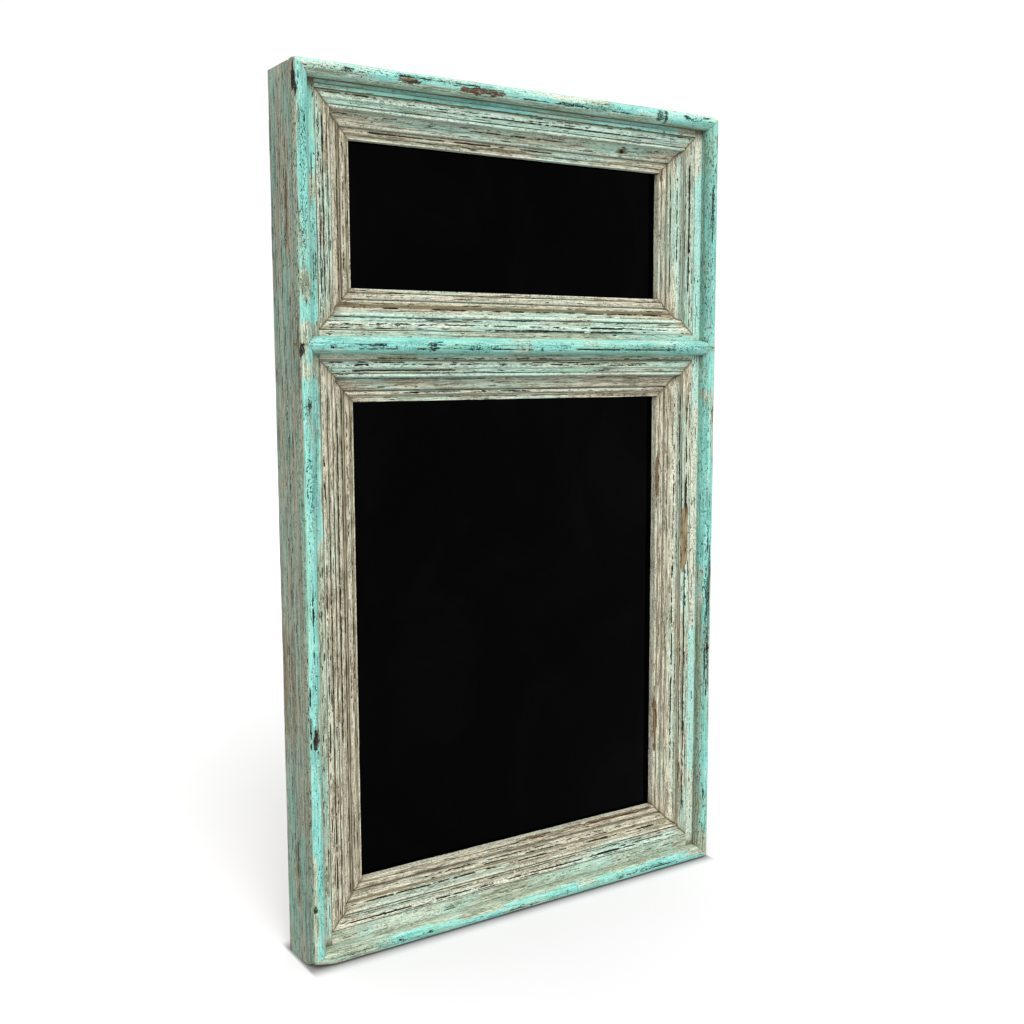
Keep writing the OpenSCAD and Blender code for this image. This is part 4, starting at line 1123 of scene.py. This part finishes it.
class WALLMIRROR_OT_mouldings(bpy.types.Operator):
    """Two mitred frames of stepped moulding round the mirror plates"""

    bl_idname = "wallmirror.mouldings"
    bl_label = "Mouldings"

    def execute(self, context):
        wear, paint = context.scene.wall_mirror_wear, context.scene.wall_mirror_paint
        material = painted_wood(
            "moulding_cream_paint", paint, ((paint.cream_deep, paint.cream, paint.cream_pale),
                                            (paint.mint_deep, paint.mint, paint.mint_pale)),
            paint.crack, 0.0)
        outline = moulding_outline(context.scene.wall_mirror_moulding, wear)
        for count, which in enumerate(("upper", "lower")):
            rect = moulding_rect(which)
            for number, edge in enumerate(EDGES):
                name = f"{which}_{edge}"
                ends = rect[:2] if edge in ("top", "bottom") else rect[2:]
                start = ends[0] + outline.u + MITRE_GAP / 2
                end = ends[1] - outline.u - MITRE_GAP / 2
                along = rows_between(start, end, wear.step_along)
                masks = moulding_masks(name, along, outline, 400 + 200 * count + 40 * number, ends)
                self.mark(masks, name, outline.round_to)
                build_worn(f"moulding_{name}", material, masks, outline,
                           (edge, rect, GLASS_Y), wear)
        return {"FINISHED"}

    def mark(self, masks, name, place_of):
        """Patches that the photograph shows on the mouldings: bare fresh wood under flaked
        paint, worn lips, and a knot. place_of turns a distance from the outer edge into one
        round the section."""
        flat, cove, lip = place_of(8.0), place_of(25.0), place_of(45.4)
        if name == "lower_right":
            masks.set_areas("bare", (0.421, 0.510, place_of(4.5), place_of(14.2), 1.3))
            masks.raise_to("pale", 1.2 * masks.bare)
            masks.add_strokes((flat - 1.0, 0.495, 0.550, 1.3, 0.9),
                              (place_of(13.5), 0.425, 0.545, 0.8, 0.7))
            masks.add_marks("bare", (0.210, lip, 0.048, 4.0), (0.540, lip, 0.042, 4.0),
                            strength=0.9)
            masks.add_marks("pale", (0.392, flat, 0.036, 7.0), strength=1.6)
            masks.set_areas("tint", (0.360, 0.424, place_of(2.0), place_of(14.0), 1.0))
        if name == "upper_top":
            masks.add_marks("grime_and_shade", (0.160, cove + 1.0, 0.009, 5.5))
            masks.add_marks("crack", (0.160, cove + 1.0, 0.0035, 2.6), strength=0.8)
        if name == "lower_bottom":
            masks.add_marks("bare", (0.018, lip, 0.034, 3.6), (0.145, lip, 0.075, 3.6),
                            strength=0.7)
        if name == "upper_right":
            masks.add_marks("bare", (0.960, lip, 0.030, 3.6), strength=0.6)


# Timbers


def box_outline(width, depth, wear, fine_sides):
    """A rectangle with eased corners as a profile: up its outer side, over its face, down and
    back. Sides that show are fine, the others are rough."""
    steps = [wear.step_across * 1.3 if side in fine_sides else wear.hidden_step
             for side in ("outer", "face", "inner", "back")]
    ease, turn = 0.8 * MM, 0.5 * MM
    return Outline(
        straight((0, ease), (0, depth - ease), steps[0]),
        arc((ease, depth - ease), ease, 180, 90, turn),
        straight((ease, depth), (width - ease, depth), steps[1]),
        arc((width - ease, depth - ease), ease, 90, 0, turn),
        straight((width, depth - ease), (width, ease), steps[2]),
        arc((width - ease, ease), ease, 0, -90, turn),
        straight((width - ease, 0), (ease, 0), steps[3]),
        arc((ease, ease), ease, -90, -180, turn), ease=0)


# Share of turquoise over the sage coat on the timbers' faces: everywhere, then in patches
# given by start and end along in metres, and by the lane from the outer edge in millimetres
TIMBER_COATS = {
    "stile_left": (0.20, (0.500, 0.690, 17, 28, 0.75), (0.745, 1.030, 17, 28, 0.95),
                   (0.880, 0.910, 17, 32, 0.15), (0.140, 0.240, 17, 26, 0.40)),
    "stile_right": (0.75, (0.745, 0.940, 17, 32, 1.00), (0.950, 1.010, 17, 32, 0.0),
                    (0.020, 0.130, 17, 32, 0.30), (0.330, 0.645, 17, 32, 0.10)),
    "rail_top": (0.65, (-0.205, 0.005, 10, 30, 1.10), (0.245, 0.290, 10, 30, 0.10)),
    "rail_middle": (0.15, (-0.300, 0.300, -5, 10, 0.35), (-0.280, -0.155, -5, 10, 0.05),
                    (0.180, 0.280, 24, 46, 0.60)),
    "rail_bottom": (0.15, (-0.310, -0.240, 17, 46, 0.0), (-0.225, -0.125, 17, 46, 0.25),
                    (0.005, 0.255, 17, 46, 0.35)),
}


# Bare patches and dirt on the left side, as the surface's set_areas takes them, and its open
# cracks, as add_strokes takes them. Across runs from the back corner forward.
LEFT_BARE = ((0.826, 0.908, 40.5, 44.5, 0.85), (0.300, 0.350, 27.5, 30.5, 0.6),
             (0.090, 0.130, 28.5, 31.5, 0.5))
LEFT_DIRT = ((0.820, 0.915, 36.0, 47.0, 0.45), (0.270, 0.400, 2.0, 16.0, 0.6),
             (0.250, 0.400, 24.0, 37.0, 0.55), (0.065, 0.150, 24.0, 37.0, 0.5),
             (0.560, 0.760, 2.0, 10.0, 0.4), (0.400, 0.560, 26.0, 34.0, 0.3))
LEFT_CRACKS = ((32.0, 0.060, 0.160, 0.9, 0.9), (35.5, 0.480, 0.640, 0.8, 0.8),
               (33.0, 0.400, 0.720, 0.7, 0.6), (29.0, 0.560, 0.760, 0.8, 0.7),
               (46.0, 0.300, 0.640, 0.6, 0.6), (26.5, 0.700, 0.960, 0.7, 0.6),
               (38.0, 0.800, 0.960, 0.7, 0.6), (19.0, 0.150, 0.480, 0.6, 0.6))
# Faint cracks all along every timber: places on the outer side from the back corner forward,
# and on the face from its outer edge inward, in millimetres
SIDE_FAINT = np.arange(4, 56, 5.5)
FACE_FAINT = (21.5, 24.0, 27.0)
# Dirt on the stiles' faces at the ends of the level beads: height and how far it reaches
BEAD_END_DIRT = ((MID_Z, 0.011), (FRAME_TOP - BEAD_W, 0.012), (BEAD_W, 0.008))


def timber_masks(name, along, outline, seed, width):
    """Wear of a timber: side coat on the outer side, front coat on the face, bare wood on the
    back, and long cracks along the grain."""
    made = Surface(along, outline, seed)
    across, u, h = made.across, made.u, made.h
    on_face = fade(h, TIMBER_DEPTH - 0.9 * MM, TIMBER_DEPTH - 0.2 * MM)
    made.coat = on_face * fade(u, 1 * MM, 3 * MM)
    share, *areas = TIMBER_COATS[name]
    patches = grain(along, across, 0.10, 0.02, seed + 2, 3)
    made.tint = share - 0.1 + 0.4 * fade(patches, 0.45, 0.75)
    face = TIMBER_DEPTH / MM
    made.set_areas("tint", *((start, end, face + low, face + high, value)
                             for start, end, low, high, value in areas))
    ragged = 4 * MM * (grain(along, across, 0.03, 0.01, seed + 6) - 0.5)
    rebate = fade(u, width - 1.4 * MM, width - 0.8 * MM) * fade(TIMBER_DEPTH - h, 0.0, 2 * MM)
    made.bare = np.maximum(fade(2.5 * MM + ragged - h, 0.0, 1.5 * MM), rebate)
    made.grime_and_shade = 0.6 * bell(h, TIMBER_DEPTH, 1.2 * MM) * fade(3 * MM - u, 0, 2 * MM)
    # Dark line on the face along the bead's foot: dirt, and on the top and middle rails, where it
    # is strongest, painted shade beside the bead as well
    line = 0.9 if name in ("rail_top", "rail_middle") else 0.4
    made.raise_to("grime_and_shade", line * made.coat * bell(u, BEAD_W + 0.3 * MM, 0.8 * MM))
    made.fleck = 0.4 * fade(grain(along, across, 0.08, 0.006, seed + 3), 0.40, 0.75)
    # Chalky flakes on the face; on the right stile they cover it all and also lift it as painted
    # light against the shade beside the bead
    made.pale = made.coat * (0.9 if name == "stile_right" else 0.6 * fade(patches, 0.5, 0.8))
    ends = along.min(), along.max()
    made.add_strokes(*((place, *ends, 0.5, 0.46) for place in SIDE_FAINT))
    made.add_strokes(*((face + place, *ends, 0.5, 0.36) for place in FACE_FAINT))
    if name == "rail_middle":
        made.coat = on_face
    if name.startswith("stile"):
        beside_bead = fade(across, TIMBER_DEPTH + 12 * MM, TIMBER_DEPTH + 17 * MM)
        for level, reach in BEAD_END_DIRT:
            made.raise_to("grime_and_shade", np.exp(-np.abs(along - level) / reach) * beside_bead)
    if name == "stile_left":
        made.set_areas("bare", *LEFT_BARE)
        made.set_areas("grime_and_shade", *LEFT_DIRT)
        made.add_strokes(*LEFT_CRACKS)
    return made


class WALLMIRROR_OT_timbers(bpy.types.Operator):
    """Stiles and rails of the deep frame"""

    bl_idname = "wallmirror.timbers"
    bl_label = "Timbers"

    def execute(self, context):
        wear, paint = context.scene.wall_mirror_wear, context.scene.wall_mirror_paint
        material = painted_wood("timber_grey_green_paint", paint, green_coats(paint), paint.crack,
                                0.05)
        upright = (-HALF_W, HALF_W, 0.0, TIMBER_TOP)
        runs = [("stile_left", "left", upright, 801), ("stile_right", "right", upright, 841)]
        for number, (name, edge) in enumerate((("rail_top", "top"), ("rail_middle", "bottom"),
                                               ("rail_bottom", "bottom"))):
            rect = (-INNER_X, INNER_X, *self.rail_edges(name))
            runs.append((name, edge, rect, 881 + 20 * number))
        for name, edge, rect, seed in runs:
            bottom, top = rect[2:]
            stile = edge in ("left", "right")
            width, ends = (HALF_W - INNER_X, (bottom, top)) if stile else (top - bottom, rect[:2])
            sides = ("face", "back") if name == "rail_middle" else ("outer", "face", "back")
            outline = box_outline(width, TIMBER_DEPTH, wear, sides)
            start, end = (np.full_like(outline.u, place) for place in ends)
            along = rows_between(start, end, wear.step_along)
            masks = timber_masks(name, along, outline, seed, width)
            build_worn(name, material, masks, outline, (edge, rect, BACK_Y), wear,
                       shapers=(wear_foot,))
        return {"FINISHED"}

    def rail_edges(self, name):
        """Bottom and top of a rail's body, without its tenons."""
        rects = {which: moulding_rect(which) for which in ("upper", "lower")}
        gap = rects["lower"][0] + INNER_X
        if name == "rail_top":
            return rects["upper"][3] + gap, TIMBER_TOP
        if name == "rail_middle":
            return rects["lower"][3] + gap, rects["upper"][2] - gap
        return 0.0, rects["lower"][2] - gap


# Plates, boards, strips and fittings


class WALLMIRROR_OT_plates(bpy.types.Operator):
    """Mirror plates, back boards and the strips that hold them"""

    bl_idname = "wallmirror.plates"
    bl_label = "Plates and backs"

    def execute(self, context):
        paint = context.scene.wall_mirror_paint
        glass = mirror_glass("dark_mirror_glass")
        board = plain_wood("back_board_veneer", (0.40, 0.29, 0.17), (0.30, 0.20, 0.11), 2)
        pine = (0.46, 0.32, 0.18), (0.30, 0.18, 0.09)
        level = plain_wood("level_strip_pine", *pine, 0)
        upright = plain_wood("upright_strip_pine", *pine, 2)
        for which in ("upper", "lower"):
            dress(f"mirror_{which}", glass)
            dress(f"backboard_{which}", board)
            for edge in EDGES:
                dress(f"strip_{which}_{edge}", level if edge in ("top", "bottom") else upright)
        dress("joint_pegs", plain_wood("peg_end_grain", (0.34, 0.22, 0.12), (0.20, 0.12, 0.06), 1))
        return {"FINISHED"}


class WALLMIRROR_OT_fittings(bpy.types.Operator):
    """Pins, nails, hangers with their rings and screws, and wall bumpers"""

    bl_idname = "wallmirror.fittings"
    bl_label = "Fittings"

    def execute(self, context):
        dull = aged_steel("dull_pin_steel", (0.34, 0.33, 0.31), 0.9)
        plated = aged_steel("plated_hanger_steel", (0.62, 0.61, 0.58), 0.5)
        rubber = soft_rubber("bumper_rubber")
        for name in ("bead_pins", "moulding_nails", "strip_pins"):
            dress(name, dull)
        dress("hanger_screws", plated)
        for side in ("left", "right"):
            dress(f"hanger_{side}", plated)
            dress(f"hanger_ring_{side}", plated)
            dress(f"bumper_{side}", rubber)
        return {"FINISHED"}


def dress(node, material):
    """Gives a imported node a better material."""
    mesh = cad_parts[node].data
    mesh.materials.clear()
    mesh.materials.append(material)


# Stage


FLOOR_RINGS = (0.02, 1.0, 6.0, 60.0)
FLOOR_CORNERS = 64
LAMP_DISTANCE = 3.0


class WALLMIRROR_OT_stage(bpy.types.Operator):
    """Pale floor, even white sky, one soft light and the camera"""

    bl_idname = "wallmirror.stage"
    bl_label = "Stage"

    def execute(self, context):
        stage = context.scene.wall_mirror_stage
        self.floor()
        self.lights(stage)
        self.camera(stage)
        context.scene.view_settings.view_transform = "Standard"
        return {"FINISHED"}

    def floor(self):
        """A level disc: rings of points at growing distances from the middle, whose paper has a
        contact shadow painted round the frame's foot.
        """
        angle = np.linspace(0, 2 * math.pi, FLOOR_CORNERS, endpoint=False)
        reach = np.array(FLOOR_RINGS)[:, None]
        points = np.stack([reach * np.cos(angle), reach * np.sin(angle), 0 * reach * angle], -1)
        index = np.arange(len(FLOOR_RINGS) * FLOOR_CORNERS).reshape(-1, FLOOR_CORNERS)
        beside = np.roll(index, -1, axis=1)
        faces = np.stack([index[:-1], index[1:], beside[1:], beside[:-1]], -1).reshape(-1, 4)
        mesh = bpy.data.meshes.new("stage_floor")
        mesh.from_pydata(points.reshape(-1, 3).tolist(), [], [*faces.tolist(), index[0].tolist()])
        made = Recipe("stage_paper")
        place = made.object_place()
        # Painted contact shadow: the paper darkens towards dark grey within 26 mm of the foot
        shade = made.between(self.from_foot(made, place), 0.0, 0.026, 0.78, 0.0)
        paper = made.blend(made.noise(place, 3.0), (0.565, 0.565, 0.565), (0.585, 0.585, 0.585))
        mesh.materials.append(made.finish(
            Base_Color=made.blend(shade, paper, (0.10, 0.10, 0.10)), Roughness=0.9))
        floor = bpy.data.objects.new("stage_floor", mesh)
        bpy.context.scene.collection.objects.link(floor)

    def from_foot(self, made, place):
        """Distance of a place on the floor from the foot of the frame: how far it lies beyond
        the foot's rectangle along X, counted five times, and along Y, taken together as the
        sides of a triangle."""
        x, y = (made.node("ShaderNodeSeparateXYZ", inputs={0: place}, output=axis)
                for axis in range(2))
        front, back = FACE_Y - BEAD_PROUD + BEAD_W / 2, BACK_Y
        beyond_x = x.beyond(HALF_W) * 5.0
        beyond_y = (y - (front + back) / 2).beyond((back - front) / 2)
        return (beyond_x * beyond_x + beyond_y * beyond_y).root()

    def lights(self, stage):
        """An even sky, and a wide sun whose direction is given by its height and turn."""
        world = bpy.data.worlds.new("studio")
        world.use_nodes = True
        sky = world.node_tree.nodes["Background"].inputs
        sky["Color"].default_value = (1, 1, 1, 1)
        sky["Strength"].default_value = stage.sky
        bpy.context.scene.world = world
        lamp = bpy.data.lights.new("key_light", "SUN")
        lamp.energy = stage.key
        lamp.angle = stage.key_spread
        light = bpy.data.objects.new("key_light", lamp)
        level = math.cos(stage.key_height)
        towards = Vector((level * math.sin(stage.key_turn), -level * math.cos(stage.key_turn),
                          math.sin(stage.key_height)))
        light.location = LAMP_DISTANCE * towards
        light.rotation_euler = (-towards).to_track_quat("-Z", "Y").to_euler()
        bpy.context.scene.collection.objects.link(light)

    def camera(self, stage):
        """The camera turns about Z to its heading, tips to its tilt and rolls about its view."""
        lens = bpy.data.cameras.new("camera")
        lens.sensor_width = 36.0
        lens.lens = stage.lens
        camera = bpy.data.objects.new("camera", lens)
        turn = (Matrix.Rotation(-stage.heading, 4, "Z")
                @ Matrix.Rotation(math.pi / 2 - stage.tilt, 4, "X")
                @ Matrix.Rotation(stage.roll, 4, "Z"))
        camera.matrix_world = Matrix.Translation(stage.camera_place) @ turn
        bpy.context.scene.collection.objects.link(camera)
        bpy.context.scene.camera = camera


class WALLMIRROR_PT_panel(bpy.types.Panel):
    """Buttons that build the mirror's looks, piece by piece"""

    bl_idname = "WALLMIRROR_PT_panel"
    bl_label = "Wall mirror"
    bl_space_type = "VIEW_3D"
    bl_region_type = "UI"
    bl_category = "Wall mirror"

    def draw(self, context):
        column = self.layout.column(align=True)
        for operator in OPERATORS:
            column.operator(operator.bl_idname)


GROUPS = {"wall_mirror_moulding": WallMirrorMoulding, "wall_mirror_wear": WallMirrorWear,
          "wall_mirror_paint": WallMirrorPaint, "wall_mirror_stage": WallMirrorStage}
OPERATORS = (WALLMIRROR_OT_stage, WALLMIRROR_OT_timbers, WALLMIRROR_OT_beads,
             WALLMIRROR_OT_mouldings, WALLMIRROR_OT_plates, WALLMIRROR_OT_fittings)


def register():
    """Registers the classes and hangs the properties on the scene."""
    for cls in (*GROUPS.values(), *OPERATORS, WALLMIRROR_PT_panel):
        bpy.utils.register_class(cls)
    for name, group in GROUPS.items():
        setattr(bpy.types.Scene, name, PointerProperty(type=group))


def unregister():
    """Takes the properties and the classes away again."""
    for name in GROUPS:
        delattr(bpy.types.Scene, name)
    for cls in (WALLMIRROR_PT_panel, *reversed(OPERATORS), *reversed(GROUPS.values())):
        bpy.utils.unregister_class(cls)


def main():
    """Builds everything in order."""
    register()
    for operator in OPERATORS:
        group, name = operator.bl_idname.split(".")
        getattr(getattr(bpy.ops, group), name)()


if __name__ == "__main__":
    main()
